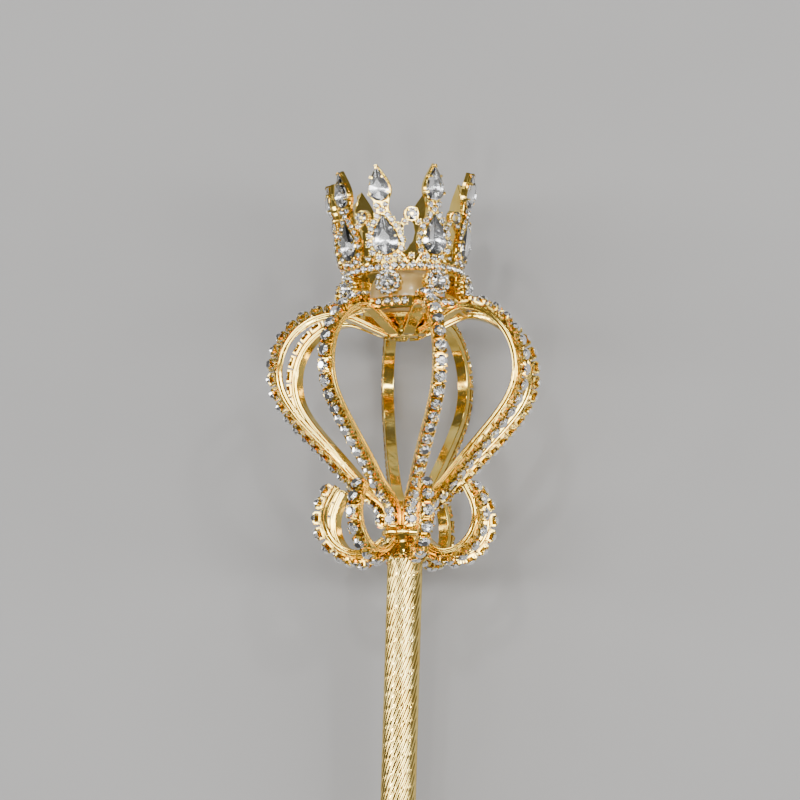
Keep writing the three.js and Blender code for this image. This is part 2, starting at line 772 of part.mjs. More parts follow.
// Lays the sceptre down: the plane through the lowest points of the three things it rests on
// is turned level again and again, until those points no longer change.
function layDown(upright, supports) {
  const pose = new THREE.Quaternion().setFromAxisAngle(new THREE.Vector3(1, 0, 0), -Math.PI / 2);
  upright.quaternion.copy(pose);
  const lowestOf = (mesh) => {
    const lowest = new THREE.Vector3(0, 0, Infinity);
    const corners = mesh.geometry.getAttribute("position");
    const corner = new THREE.Vector3();
    for (let index = 0; index < corners.count; index += 1) {
      corner.fromBufferAttribute(corners, index).applyMatrix4(mesh.matrixWorld);
      if (corner.z < lowest.z) lowest.copy(corner);
    }
    return lowest;
  };
  for (let round = 0; round < LAY_DOWN_ROUNDS; round += 1) {
    upright.updateMatrixWorld(true);
    const [first, second, third] = supports.map(lowestOf);
    const normal = new THREE.Vector3()
      .crossVectors(second.sub(first), third.sub(first))
      .normalize();
    if (normal.z < 0) normal.negate();
    const turn = new THREE.Quaternion().setFromUnitVectors(normal, UP);
    upright.quaternion.premultiply(turn);
  }
  const aim = new THREE.Vector3(0, 0, 1).applyQuaternion(upright.quaternion);
  const swing = new THREE.Quaternion().setFromAxisAngle(UP, Math.atan2(aim.x, aim.y));
  upright.quaternion.premultiply(swing);
  upright.updateMatrixWorld(true);
  const box = new THREE.Box3().setFromObject(upright, true);
  const middle = box.getCenter(new THREE.Vector3());
  upright.position.sub(new THREE.Vector3(middle.x, middle.y, box.min.z));
}

const head = new THREE.Group();
const cageParts = cage();
head.add(cageParts.group, scrolls(), collar(), hub(), pearl(), crown(cageParts.notches));
head.children.forEach((child) => (child.position.z += COLLAR_DROP));

const leaning = new THREE.Group();
leaning.add(head);
leaning.position.z = -COLLAR_DROP;
leaning.rotation.y = radians(-HEAD_LEAN_LEFT);

const upright = new THREE.Group();
const tailKnob = tail();
upright.add(leaning, shaft(), tailKnob);

const backBars = [4, 5].map((label) => head.getObjectByName(`cage_chain_${label}`));
layDown(upright, [...backBars, tailKnob]);

const group = new THREE.Group();
group.add(upright);

export default group;
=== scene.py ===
# %% [markdown]
# # A lying sceptre of gilt bars and stone chain
#
# The real object is a costume sceptre: a fluted tube, an onion-shaped cage of eight flat bars
# with rhinestone chain soldered along them, eight open scrolls, and a small crown round a pearl.
# The CAD model fixes every place and size. Here each piece gets the form and the finish that
# the eye sees from close by. First the imported model is loaded.

import bpy
import numpy as np
from mathutils import Matrix, Vector


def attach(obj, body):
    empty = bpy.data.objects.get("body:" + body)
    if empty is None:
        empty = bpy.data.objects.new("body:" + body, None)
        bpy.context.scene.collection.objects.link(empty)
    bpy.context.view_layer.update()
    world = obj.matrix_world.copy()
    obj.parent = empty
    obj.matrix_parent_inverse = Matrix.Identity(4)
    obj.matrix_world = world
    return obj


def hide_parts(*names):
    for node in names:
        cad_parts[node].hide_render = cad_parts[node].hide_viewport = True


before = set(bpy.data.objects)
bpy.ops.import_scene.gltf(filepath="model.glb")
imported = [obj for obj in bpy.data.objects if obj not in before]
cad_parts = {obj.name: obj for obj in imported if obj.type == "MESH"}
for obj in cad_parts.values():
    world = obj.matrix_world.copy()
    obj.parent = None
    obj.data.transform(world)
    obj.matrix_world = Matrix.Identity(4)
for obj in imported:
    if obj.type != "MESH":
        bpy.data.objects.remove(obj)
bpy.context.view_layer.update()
print("CAD nodes:", len(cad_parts))

# %% [markdown]
# ## Sizes
#
# All sizes are in millimetres and degrees, as a maker would note them. They repeat the CAD
# model's driving dimensions, because the finished pieces have to lie where its solids lie.
# Heights count along the sceptre's axis from the neck, where head and shaft meet.

# %% Sizes of the head
SHAFT_LENGTH = 320
SHAFT_DIAMETER = 10
SHAFT_WALL = 0.9
CLEARANCE = 0.3
COLLAR_DIAMETER = 11.2
COLLAR_DROP = 7.6
COLLAR_FLANGE_DIAMETER = 13.4
COLLAR_FLANGE_HEIGHT = 1.4
COLLAR_BOSS_DIAMETER = 7.6
COLLAR_BOSS_HEIGHT = 7
BAR_WIDTH = 3.3
BAR_THICKNESS = 1.9
CHAIN_HEIGHT = 2.5
STONE_PITCH = 3.72
CHAIN_END_MARGIN = 0.6
RIM_STONE_REACH = 1.6
SEARCH_STEP = 0.25
BARS = 8
CAGE_BEARING = 11.6
CAGE_SWINGS = np.array([3.4, 5.4, -1.6, 4.4, -4.1, 2.4, -6.6, -3.1])
CAGE_DIAMETER = 79
BULGE_RADIUS = CAGE_DIAMETER / 2 - CHAIN_HEIGHT - CLEARANCE - BAR_THICKNESS / 2
NECK_RADIUS = COLLAR_BOSS_DIAMETER / 2 + CLEARANCE + BAR_THICKNESS / 2
BULGE_HEIGHT = 44.6
CREST_RADIUS = 19.3
CREST_HEIGHT = 61.3
DISH_RADIUS = 4.9
DISH_DEPTH = 5.7
DISH_RISE_ANGLE = 21
PEARL_DIAMETER = 19.8
RIM_DIAMETER = 34
HUB_DIAMETER = 7.8
HUB_HEIGHT = 1.1
HUB_TIP_DIAMETER = 2.4
HUB_TIP_HEIGHT = 1
CUP_WALL = 0.5
CUP_RIM_ANGLE = 34
HEAD_LEAN_LEFT = 1.8
CROWN_LEAN_LEFT = 1.7
CROWN_LEAN_BACK = 3
CROWN_SINK = 1
SHAFT_TOP = -COLLAR_DROP - CLEARANCE - COLLAR_DIAMETER / 2 * np.sin(np.radians(HEAD_LEAN_LEFT))

# %% [markdown]
# ## The sceptre's own axes
#
# The sceptre lies on the table on two cage bars and its tail knob, so its axis is a little
# tilted and it is rolled by some degrees. Its axes are read from the frame: the tube's corners
# spread most along the axis, and the pearl stands a little to the left of it.

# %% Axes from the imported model
def corners_of(node):
    """Each corner of a CAD node once, as an array of points in metres."""
    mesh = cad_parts[node].data
    found = np.empty(3 * len(mesh.vertices), np.float32)
    mesh.vertices.foreach_get("co", found)
    return np.unique(found.reshape(-1, 3).astype(float).round(6), axis=0)


tube = corners_of("shaft")
tube_middle = tube.mean(axis=0)
axis_way = np.linalg.svd(tube - tube_middle)[2][0]
to_pearl = corners_of("pearl").mean(axis=0) - tube_middle
axis_way *= np.sign(axis_way @ to_pearl)
left_way = to_pearl - (to_pearl @ axis_way) * axis_way
right_way = -left_way / np.linalg.norm(left_way)
back_way = np.cross(axis_way, right_way)
ways = np.array([right_way, back_way, axis_way])
neck = tube_middle + axis_way * (SHAFT_LENGTH / 2 - SHAFT_TOP) / 1000
print("axis", axis_way.round(4), "neck", neck.round(5))

# %% [markdown]
# A point of the head is first turned with the head's lean about the collar's lower edge, and a
# point of the crown with the crown's own lean before that. Everything ends in metres in the
# frame of the CAD model.

# %% From millimetres on the upright sceptre to metres on the table
def turn(about, degrees):
    """A turn about x, y or z: cosines on the plane's own axes, sines across them."""
    first, second = {"x": (1, 2), "y": (2, 0), "z": (0, 1)}[about]
    angle = np.radians(degrees)
    made = np.eye(3)
    made[first, first] = made[second, second] = np.cos(angle)
    made[first, second] = -np.sin(angle)
    made[second, first] = np.sin(angle)
    return made


head_turn = turn("y", -HEAD_LEAN_LEFT)
crown_turn = turn("x", -CROWN_LEAN_BACK) @ turn("y", -CROWN_LEAN_LEFT)
collar_foot = np.array([0, 0, -COLLAR_DROP])
crown_foot = np.array([0, 0, CREST_HEIGHT - CROWN_SINK])


def from_shaft(points):
    """Upright millimetres to metres on the table: each coordinate runs along its own way."""
    return neck + points @ ways / 1000


def from_head(points):
    """As from_shaft, after the head's lean about the collar's foot."""
    return from_shaft((points - collar_foot) @ head_turn.T + collar_foot)


def from_crown(points):
    """As from_head, after the crown's own lean on the dish of the cage."""
    return from_head(points @ crown_turn.T + crown_foot)


# %% [markdown]
# ## From arrays to meshes
#
# Every new piece is a set of numpy arrays: points, and faces grouped by their number of
# corners. One helper puts them in a mesh, gives it its finishes, hangs it on the sceptre's only
# body and hides the CAD nodes that it stands for.

# %% Mesh helper
made_triangles = {}


def new_piece(name, points, faces, finishes, replaces, smooth=True, shares=None):
    """A mesh object from points in metres and face arrays. shares gives each face array its
    finish, as a number in the list of finishes, where there is more than one."""
    mesh = bpy.data.meshes.new(name)
    mesh.vertices.add(len(points))
    mesh.vertices.foreach_set("co", points.astype(np.float32).ravel())
    corners = np.concatenate([group.ravel() for group in faces]).astype(np.int32)
    counts = np.concatenate([np.full(len(group), group.shape[1]) for group in faces])
    mesh.loops.add(len(corners))
    mesh.polygons.add(len(counts))
    mesh.polygons.foreach_set("loop_start", (np.cumsum(counts) - counts).astype(np.int32))
    mesh.polygons.foreach_set("vertices", corners)
    mesh.polygons.foreach_set("use_smooth", np.full(len(counts), smooth))
    for finish in finishes:
        mesh.materials.append(finish)
    if shares:
        picks = np.concatenate([np.full(len(group), pick) for group, pick in zip(faces, shares)])
        mesh.polygons.foreach_set("material_index", picks.astype(np.int32))
    mesh.update(calc_edges=True)
    mesh.validate()
    piece = bpy.data.objects.new(name, mesh)
    bpy.context.scene.collection.objects.link(piece)
    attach(piece, "root")
    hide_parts(*replaces)
    made_triangles[name] = int((counts - 2).sum())


def gathered(parts):
    """Several (points, faces) as one: each part's faces count on from the points before it."""
    points = np.concatenate([part[0] for part in parts])
    starts = np.cumsum([0] + [len(part[0]) for part in parts])
    faces = [group + start for part, start in zip(parts, starts) for group in part[1]]
    return points, faces


def at_height(flat, height):
    """Flat points [x, y] with one height."""
    return np.column_stack([flat, np.full(len(flat), height)])


def walls_between(index, closed=False):
    """Four-cornered faces between the rows of a grid of point numbers. Each row is a ring, and
    where the grid is closed, the last row joins the first."""
    if closed:
        index = np.concatenate([index, index[:1]])
    ahead = np.roll(index, -1, axis=1)
    return np.stack([index[:-1], ahead[:-1], ahead[1:], index[1:]], axis=-1).reshape(-1, 4)


def swept(place, across, up, outline):
    """Carries a closed outline of [across, up] points along n stations and closes both ends."""
    rings = (
        place[:, None]
        + outline[None, :, 0, None] * across[:, None]
        + outline[None, :, 1, None] * up[:, None]
    )
    index = np.arange(rings.shape[0] * rings.shape[1]).reshape(rings.shape[:2])
    return rings.reshape(-1, 3), [walls_between(index), index[:1, ::-1], index[-1:]]


def turned(profile, sides):
    """Turns [radius, height] points, from the foot up, round +Z: x is the radius times the
    cosine, y the radius times the sine. Radius 0 closes an end, and without it the wall does."""
    profile = np.asarray(profile, float)
    angle = np.linspace(0, 2 * np.pi, sides, endpoint=False)
    ends = profile[:, 0] == 0
    body = profile[~ends]
    rings = body[:, None, [0, 0, 1]] * at_height(np.column_stack([np.cos(angle), np.sin(angle)]), 1)
    points = rings.reshape(-1, 3)
    index = np.arange(len(points)).reshape(len(body), sides)
    if not ends.any():
        return points, [walls_between(index, True)]
    ahead = np.roll(index, -1, axis=1)
    pole = np.full(sides, len(points))
    foot_fan = np.stack([pole, ahead[0], index[0]], axis=-1)
    top_fan = np.stack([pole + 1, index[-1], ahead[-1]], axis=-1)
    poles = [[0, 0, profile[0, 1]], [0, 0, profile[-1, 1]]]
    return np.concatenate([points, poles]), [walls_between(index), foot_fan, top_fan]


def block(x, y, low, high, taper=(0, 0)):
    """A box between pairs of x and y, from low to high, whose top may be moved by taper."""
    base = np.array([[x[0], y[0]], [x[1], y[0]], [x[1], y[1]], [x[0], y[1]]], float)
    faces = [[3, 2, 1, 0], [4, 5, 6, 7], [0, 1, 5, 4], [1, 2, 6, 5], [2, 3, 7, 6], [3, 0, 4, 7]]
    return np.concatenate([at_height(base, low), at_height(base + taper, high)]), [np.array(faces)]


def repeated(unit, faces, place, across, along, up):
    """Copies of a unit shape: point = place + x times across + y times along + z times up."""
    unit = np.broadcast_to(unit, (len(place), *unit.shape[-2:]))
    points = (
        place[:, None]
        + unit[..., 0:1] * across[:, None]
        + unit[..., 1:2] * along[:, None]
        + unit[..., 2:3] * up[:, None]
    )
    steps = unit.shape[1] * np.arange(len(place))
    grown = [(group[None] + steps[:, None, None]).reshape(-1, group.shape[1]) for group in faces]
    return points.reshape(-1, 3), grown


# %% [markdown]
# ## Finishes
#
# A finish is a small network of shader nodes. To write its maths as plain sums, one class wraps
# a socket: an operator on it adds a Math node. Another holds one material and adds any other node.

# %% Shader helpers
class Amount:
    """A number that varies over the surface. Sums and products of it add Math nodes."""

    def __init__(self, recipe, socket):
        self.recipe = recipe
        self.socket = socket

    def combine(self, operation, first, second):
        """One Math node on two amounts or plain numbers."""
        settings = {"operation": operation}
        return self.recipe.node("ShaderNodeMath", settings, {0: first, 1: second})

    def __add__(self, other):
        return self.combine("ADD", self, other)

    def __mul__(self, other):
        return self.combine("MULTIPLY", self, other)

    __radd__ = __add__
    __rmul__ = __mul__


class Recipe:
    """One material and the nodes that make it."""

    def __init__(self, name):
        self.material = bpy.data.materials.new(name)
        self.material.use_nodes = True
        self.tree = self.material.node_tree
        self.tree.nodes.clear()

    def node(self, kind, settings=None, inputs=None, output=0):
        """A node of any kind: its settings first, then a value or a link for each input."""
        made = self.tree.nodes.new(kind)
        for key, value in (settings or {}).items():
            if key == "stops":
                self.set_stops(made.color_ramp, value)
            else:
                setattr(made, key, value)
        for key, value in (inputs or {}).items():
            if isinstance(value, Amount):
                self.tree.links.new(value.socket, made.inputs[key])
            else:
                made.inputs[key].default_value = value
        return Amount(self, made.outputs[output]) if made.outputs else None

    def set_stops(self, ramp, stops):
        """The places and colours of a ramp, in order."""
        while len(ramp.elements) < len(stops):
            ramp.elements.new(1)
        for element, (place, colour) in zip(ramp.elements, stops):
            element.position = place
            element.color = (*colour, 1)

    def place(self):
        """Where a point lies on the piece, in metres."""
        return self.node("ShaderNodeTexCoord", output="Object")

    def noise(self, scale, detail=2, stretch=(1, 1, 1)):
        """Soft noise from 0 to 1 with features about one part in scale of a metre across."""
        spot = self.node("ShaderNodeMapping", inputs={"Vector": self.place(), "Scale": stretch})
        inputs = {"Vector": spot, "Scale": scale, "Detail": detail}
        return self.node("ShaderNodeTexNoise", inputs=inputs)

    def ramp(self, amount, stops):
        """Colours between the stops, picked by an amount from 0 to 1."""
        return self.node("ShaderNodeValToRGB", {"stops": stops}, {"Fac": amount})

    def bump(self, height, distance, strength):
        """Light bent as by a relief of that height, which is distance metres at 1."""
        inputs = {"Height": height, "Distance": distance, "Strength": strength}
        return self.node("ShaderNodeBump", inputs=inputs)

    def finish(self, inputs):
        """Closes the recipe with the main shader and gives the material."""
        shader = self.node("ShaderNodeBsdfPrincipled", inputs=inputs)
        self.node("ShaderNodeOutputMaterial", inputs={"Surface": shader})
        return self.material


# %% [markdown]
# The gilding is a bright electroplated gold. A mirror of one colour looks like plastic, so its
# colour drifts between a pale and a deep gold, its gloss is broken by faint clouds, and a very
# low ripple bends the reflections as polished sheet metal does.

# %% Gilding
def gilding(name, pale, deep, gloss, ripple):
    """Polished plating: colour and roughness follow slow noise, and a ripple bends the light."""
    recipe = Recipe(name)
    drift = recipe.noise(170, 3)
    colour = recipe.ramp(drift, [(0.3, deep), (0.7, pale)])
    haze = recipe.noise(900, 4)
    wave = recipe.noise(420, 1)
    return recipe.finish(
        {
            "Base Color": colour,
            "Metallic": 1.0,
            "Roughness": haze * 0.14 + gloss,
            "Normal": recipe.bump(wave, 0.0002, ripple),
        }
    )


gold = gilding("polished_gold", (1.0, 0.77, 0.22), (0.88, 0.57, 0.09), 0.04, 0.22)
pale_gold = gilding("champagne_gold", (1.0, 0.78, 0.26), (0.78, 0.52, 0.11), 0.05, 0.1)

# %% [markdown]
# The stones are clear leaded glass. Each sits in its cup on a silvered foil, which throws the
# light back out through the facets. The glass is see-through by plain transmission, and the
# foil under it is a mirror with a grain.

# %% Glass and foil
def clear_glass(name, tint, haze):
    """See-through glass: plain transmission, a faint tint that drifts from stone to stone."""
    recipe = Recipe(name)
    drift = recipe.noise(260, 1)
    colour = recipe.ramp(drift, [(0.35, tint), (0.65, (1.0, 1.0, 1.0))])
    return recipe.finish(
        {
            "Base Color": colour,
            "Roughness": recipe.noise(700) * haze,
            "IOR": 1.62,
            "Transmission Weight": 1.0,
        }
    )


def silver_foil(name):
    """Bright foil: near white metal whose roughness follows a fine grain."""
    recipe = Recipe(name)
    grain = recipe.noise(2400, 3)
    colour = recipe.ramp(grain, [(0.2, (0.84, 0.85, 0.88)), (0.8, (0.98, 0.98, 0.97))])
    return recipe.finish({"Base Color": colour, "Metallic": 1.0, "Roughness": grain * 0.16 + 0.13})


glass = clear_glass("clear_stone_glass", (0.97, 0.975, 0.98), 0.03)
foil = silver_foil("stone_foil")

# %% [markdown]
# The pearl is an imitation one: a bead with a pearly lacquer of a champagne tone. Its colour is
# set darker and deeper gold than that tone, as painted shade and painted reflection of the gold
# round it, and shifts a little between a deep and a light champagne, under a clear coat.

# %% Pearl lustre, with painted shade in its colour
def pearl_colour_and_painted_shade(name):
    """Champagne tones by slow noise, made dark as painted shade, a soft gloss and a clear coat of
    constant weight.
    """
    recipe = Recipe(name)
    cloud = recipe.noise(120, 2)
    # painted shade and painted reflection: these stops are darker and more golden than the bead's own
    # champagne
    stops = [(0.3, (0.5, 0.34, 0.12)), (0.5, (0.62, 0.46, 0.19)), (0.72, (0.54, 0.38, 0.15))]
    return recipe.finish(
        {
            "Base Color": recipe.ramp(cloud, stops),
            "Roughness": recipe.noise(1500) * 0.08 + 0.22,
            "Coat Weight": 0.45,
            "Coat Roughness": 0.08,
            "Subsurface Weight": 0.08,
            "Subsurface Scale": 0.002,
        }
    )


pearl_painted_shade = pearl_colour_and_painted_shade("pearl_colour_and_painted_shade")

# %% [markdown]
# ## The line of a bar
#
# Each bar is bent in one upright plane, so its line is a chain of cubic bends given by radius
# and height, as in the CAD model. A bend is a weighted mean of four points: its two ends, and a
# pull away from each of them.

# %% Bent lines
def bent_line(start, bends, steps=60):
    """start is [radius, height]. Each bend has its end and a heading and pull at both ends."""
    spots = [np.array([start], float)]
    t = np.linspace(0, 1, steps)[1:, None]
    for leave, leave_pull, end, arrive, arrive_pull in bends:
        here = spots[-1][-1]
        end = np.array(end, float)
        out = np.radians(leave)
        into = np.radians(arrive)
        pulled = here + leave_pull * np.array([np.cos(out), np.sin(out)])
        braked = end - arrive_pull * np.array([np.cos(into), np.sin(into)])
        blend = (1 - t) ** 3 * here + 3 * (1 - t) ** 2 * t * pulled
        spots.append(blend + 3 * (1 - t) * t**2 * braked + t**3 * end)
    return np.concatenate(spots)


def travelled_along(line):
    """How far each point lies along the line: the running sum of its steps."""
    return np.concatenate([[0], np.cumsum(np.linalg.norm(np.diff(line, axis=0), axis=1))])


def pairs_at(lengths, travelled, pairs):
    """Pairs of numbers, such as [radius, height], read off in proportion at the lengths."""
    return np.column_stack([np.interp(lengths, travelled, pairs[:, k]) for k in (0, 1)])


def smooth_share(value):
    """A share from 0 to 1 that leaves and arrives gently: 3 s squared less 2 s cubed."""
    share = np.clip(value, 0, 1)
    return share**2 * (3 - 2 * share)


def outward_at(bearing):
    """Level ways out from the axis: bearing 0 is the front, and it grows to the right."""
    angle = np.radians(bearing)
    return np.stack([np.sin(angle), -np.cos(angle), np.zeros_like(angle)], axis=-1)


def stations_along(line, lengths, bearing_at, hand):
    """Places on the line with the ways across, along and out of its stone side. hand is 1
    where the stones are on the left of the run and -1 where they are on its right."""
    travelled = travelled_along(line)
    spot = pairs_at(lengths, travelled, line)
    way = pairs_at(lengths, travelled, np.gradient(line, travelled, axis=0))
    way /= np.linalg.norm(way, axis=1)[:, None]
    out = outward_at(bearing_at(spot[:, 0], lengths / travelled[-1]))
    rise = np.array([0.0, 0.0, 1.0])
    place = out * spot[:, :1] + rise * spot[:, 1:]
    along = out * way[:, :1] + rise * way[:, 1:]
    face = hand * (rise * way[:, :1] - out * way[:, 1:])
    return place, np.cross(face, along), along, face


# %% Lines of the cage and of the scrolls
def seat_rise(bearing, radius):
    """How much higher the crown's tilted seat is there than a level one."""
    spot = outward_at(np.array(bearing)) * radius
    back = np.tan(np.radians(CROWN_LEAN_BACK))
    left = np.tan(np.radians(CROWN_LEAN_LEFT))
    return -spot[1] * back + spot[0] * left


def cage_bearing(index):
    """Even at hub and neck, and swung by the bar's own angle at the bulge."""
    def bearing_at(radius, share):
        swing = smooth_share((radius - NECK_RADIUS) / (BULGE_RADIUS - NECK_RADIUS))
        return CAGE_BEARING + 360 / BARS * index + CAGE_SWINGS[index] * swing
    return bearing_at


def scroll_bearing(index):
    """Even at the collar, and swung over its whole length as the bar above it."""
    def bearing_at(radius, share):
        return CAGE_BEARING + 360 / BARS * index + CAGE_SWINGS[index] * smooth_share(share)
    return bearing_at


def cage_line(index):
    """From the hub over the crest and the bulge down to the neck."""
    bearing = cage_bearing(index)(CREST_RADIUS, 0)
    crest = CREST_HEIGHT + seat_rise(bearing, CREST_RADIUS)
    dish = CREST_HEIGHT - DISH_DEPTH + seat_rise(bearing, DISH_RADIUS)
    line = bent_line(
        (DISH_RADIUS, dish),
        [
            (DISH_RISE_ANGLE, 8.2, (CREST_RADIUS, crest), 0, 3.4),
            (0, 9.5, (BULGE_RADIUS, BULGE_HEIGHT), -90, 8.5),
            (-90, 9.5, (13.9, 13.8), -132, 22),
            (-132, 5, (NECK_RADIUS, 4), -90, 4.5),
        ],
    )
    return np.concatenate([line, [[NECK_RADIUS, 0]]])


SCROLL_ROOT_ANGLE = 41
SCROLL_CHAIN_START = 3.2


def scroll_line():
    """From the collar down, out, up and in to the free tip."""
    half = BAR_THICKNESS / 2
    root = COLLAR_DIAMETER / 2 + CLEARANCE + half * np.sin(np.radians(SCROLL_ROOT_ANGLE))
    drop = COLLAR_FLANGE_HEIGHT + 2 * CLEARANCE + half
    return bent_line(
        (root, -drop),
        [
            (-SCROLL_ROOT_ANGLE, 3, (13.8, -6.9), 0, 3),
            (0, 5.2, (23.1, 2.8), 90, 5.4),
            (90, 3.2, (19.3, 12), 123, 3),
        ],
    )


for name, line in {"bar": cage_line(0), "scroll": scroll_line()}.items():
    print(name, "length", round(travelled_along(line)[-1], 1))

# %% [markdown]
# ## The flat bars
#
# The real bars are rolled strip: flat faces, softly rounded edges, and a shallow line rolled
# into each side, which shows as a dark thread between two bright ones. A bevel modifier could
# round the edges, but an outline carried along the line also gives the rolled line.

# %% Bars of the cage and of the scrolls
BAR_EDGE = 0.28
ROLLED_LINE = 0.5
ROLLED_DEPTH = 0.16
HOLD = 0.06


def strip_outline():
    """Half an outline from the lower face to the upper one, and its mirror image."""
    half = BAR_WIDTH / 2
    thick = BAR_THICKNESS / 2
    arc = np.radians(np.linspace(0, 90, 4))
    round_x = half - BAR_EDGE + BAR_EDGE * np.sin(arc)
    round_y = thick - BAR_EDGE + BAR_EDGE * np.cos(arc)
    lower = np.column_stack([round_x, -round_y])
    line = [[half, -ROLLED_LINE / 2], [half - ROLLED_DEPTH, 0], [half, ROLLED_LINE / 2]]
    upper = np.column_stack([round_x, round_y])[::-1]
    held = half - BAR_EDGE - HOLD
    right = np.concatenate([[[held, -thick]], lower, line, upper, [[held, thick]]])
    return np.concatenate([right, right[::-1] * [-1, 1]])


def flat_bar(name, line, bearing_at, hand, steps):
    """The strip's outline carried along the whole line, in even steps."""
    lengths = np.linspace(0, travelled_along(line)[-1], steps)
    place, across, along, face = stations_along(line, lengths, bearing_at, hand)
    points, faces = swept(place, across, face, strip_outline())
    new_piece(f"{name}_strip", from_head(points), faces, [gold], [name])


for index in range(BARS):
    flat_bar(f"cage_bar_{index + 1}", cage_line(index), cage_bearing(index), 1, 90)
    flat_bar(f"scroll_bar_{index + 1}", scroll_line(), scroll_bearing(index), -1, 48)
print("bars made:", 2 * BARS)

# %% [markdown]
# ## Stone chain
#
# Rhinestone chain is a row of small open cups, each stamped from one piece with a square floor
# and four claws, joined by short links. The stone is a round brilliant: a flat table, a crown of
# slanted facets, a thin girdle and a pointed back. It is made once and copied along the bar,
# with a small turn and tilt of its own, so that no two stones flash alike.

# %% One cup and one stone
CUP_WIDTH = 3.5
CUP_LENGTH = 3.5
CUP_HEIGHT = 0.7
CUP_FLOOR = 0.3
CUP_SHEET = 0.26
CLAW_WIDTH = 0.46
CLAW_BEND = 0.5
CLAW_SHOULDER_DROP = 1.15
CLAW_TIP_DROP = 0.55
LINK_WIDTH = 1.7
LINK_LENGTH = 3.9
LINK_HEIGHT = 0.25
STONE_RADIUS = 1.7
STONE_TABLE = 0.95
GIRDLE_DROP = 0.9
GIRDLE_BAND = 0.15
CHAIN_FOOT = BAR_THICKNESS / 2
STONE_TOP = CHAIN_FOOT + CLEARANCE + CHAIN_HEIGHT


def cut_stone(girdle, table, point, heights):
    """A faceted stone with its point behind: the girdle's outline at two heights, and a table
    of half as many corners. Facets alternate between the table's and the girdle's corners."""
    flats = zip([girdle, girdle, table], heights)
    points = np.concatenate([*[at_height(flat, height) for flat, height in flats], [point]])
    count = len(girdle)
    low = np.arange(count)
    low_next = np.roll(low, -1)
    high = low + count
    inner = np.arange(len(table)) + 2 * count
    inner_next = np.roll(inner, -1)
    facets = [
        np.stack([inner, high[::2], high[1::2]], axis=-1),
        np.stack([inner, high[1::2], inner_next], axis=-1),
        np.stack([inner_next, high[1::2], np.roll(high[::2], -1)], axis=-1),
        np.stack([np.full(count, len(points) - 1), low_next, low], axis=-1),
    ]
    band = np.stack([low, low_next, low_next + count, high], axis=-1)
    return points, [np.concatenate(facets), band, inner[None]]


def brilliant(radius, table, foot, girdle, rim, top, sides):
    """A round stone: a point at foot, a girdle from girdle to rim, and a table at top."""
    angle = np.arange(2 * sides) * np.pi / sides
    ring = np.column_stack([np.cos(angle), np.sin(angle)]) * radius
    return cut_stone(ring, ring[::2] * table / radius, [0, 0, foot], (girdle, rim, top))


def hollow_foil(outline, rim, point, thickness):
    """A thin cone that follows the stone's back: one rim with a point above another."""
    below = np.subtract(point, [0, 0, thickness])
    sides = len(outline)
    here = np.arange(sides)
    ahead = np.roll(here, -1)
    inside = np.stack([here, ahead, np.full(sides, sides)], axis=-1)
    outside = np.stack([ahead, here, np.full(sides, sides + 1)], axis=-1)
    return np.concatenate([at_height(outline, rim), [point, below]]), [inside, outside]


def foil_bowl(radius, foot, rim, sides):
    """A round foil: radius times cosine and sine at the rim."""
    angle = np.linspace(0, 2 * np.pi, sides, endpoint=False)
    outline = np.column_stack([radius * np.cos(angle), radius * np.sin(angle)])
    return hollow_foil(outline, rim, [0, 0, foot], 0.1)


def claw(x_sign, y_sign):
    """A corner post of the cup, bent over the stone at its top."""
    outer_x = x_sign * CUP_WIDTH / 2
    outer_y = y_sign * CUP_LENGTH / 2
    x = sorted([outer_x, outer_x - x_sign * CLAW_WIDTH])
    y = sorted([outer_y, outer_y - y_sign * CLAW_WIDTH])
    bend = np.array([-x_sign * CLAW_BEND, -y_sign * CLAW_BEND])
    shoulder = STONE_TOP - CLAW_SHOULDER_DROP
    post = block(x, y, CHAIN_FOOT, shoulder)
    tip = block(x, y, shoulder - 0.01, STONE_TOP - CLAW_TIP_DROP, bend)
    return [post, tip]


def centred(length):
    """The two ends of a length about zero."""
    return -length / 2, length / 2


def edge_sheets(length):
    """The two sheets of metal that stand at the ends of a length."""
    reach = (length - CUP_SHEET) / 2
    return [(middle - CUP_SHEET / 2, middle + CUP_SHEET / 2) for middle in (-reach, reach)]


width, length = centred(CUP_WIDTH), centred(CUP_LENGTH)
cup_floor = block(width, length, CHAIN_FOOT, CHAIN_FOOT + CUP_FLOOR)
cup_link = block(centred(LINK_WIDTH), centred(LINK_LENGTH), CHAIN_FOOT, CHAIN_FOOT + LINK_HEIGHT)
plans = [(side, length) for side in edge_sheets(CUP_WIDTH)]
plans += [(width, end) for end in edge_sheets(CUP_LENGTH)]
walls = [block(*plan, CHAIN_FOOT, CHAIN_FOOT + CUP_HEIGHT) for plan in plans]
claws = [part for x in (-1, 1) for y in (-1, 1) for part in claw(x, y)]
cup = gathered([cup_floor, cup_link, *walls, *claws])
girdle = STONE_TOP - GIRDLE_DROP
stone_foot = CHAIN_FOOT + 0.4
stone = brilliant(STONE_RADIUS, STONE_TABLE, stone_foot, girdle, girdle + GIRDLE_BAND, STONE_TOP, 8)
bowl = foil_bowl(STONE_RADIUS - 0.05, stone_foot - 0.06, girdle - 0.08, 10)
print("faces of one cup and stone:", sum(map(len, cup[1])), sum(map(len, stone[1])))

# %% Chains along the bars
chance = np.random.default_rng(7)


def loosely(unit, count, middle, tilt):
    """Copies of a stone, each turned about its own upright and tilted by a few degrees."""
    spin = chance.uniform(0, 2 * np.pi, count)
    lean = np.radians(chance.uniform(-tilt, tilt, (count, 2)))
    points = np.broadcast_to(unit, (count, *unit.shape)).copy() - [0, 0, middle]
    x = points[..., 0] * np.cos(spin)[:, None] - points[..., 1] * np.sin(spin)[:, None]
    y = points[..., 0] * np.sin(spin)[:, None] + points[..., 1] * np.cos(spin)[:, None]
    z = points[..., 2] + x * np.sin(lean[:, :1]) + y * np.sin(lean[:, 1:])
    return np.stack([x, y, z + middle], axis=-1)


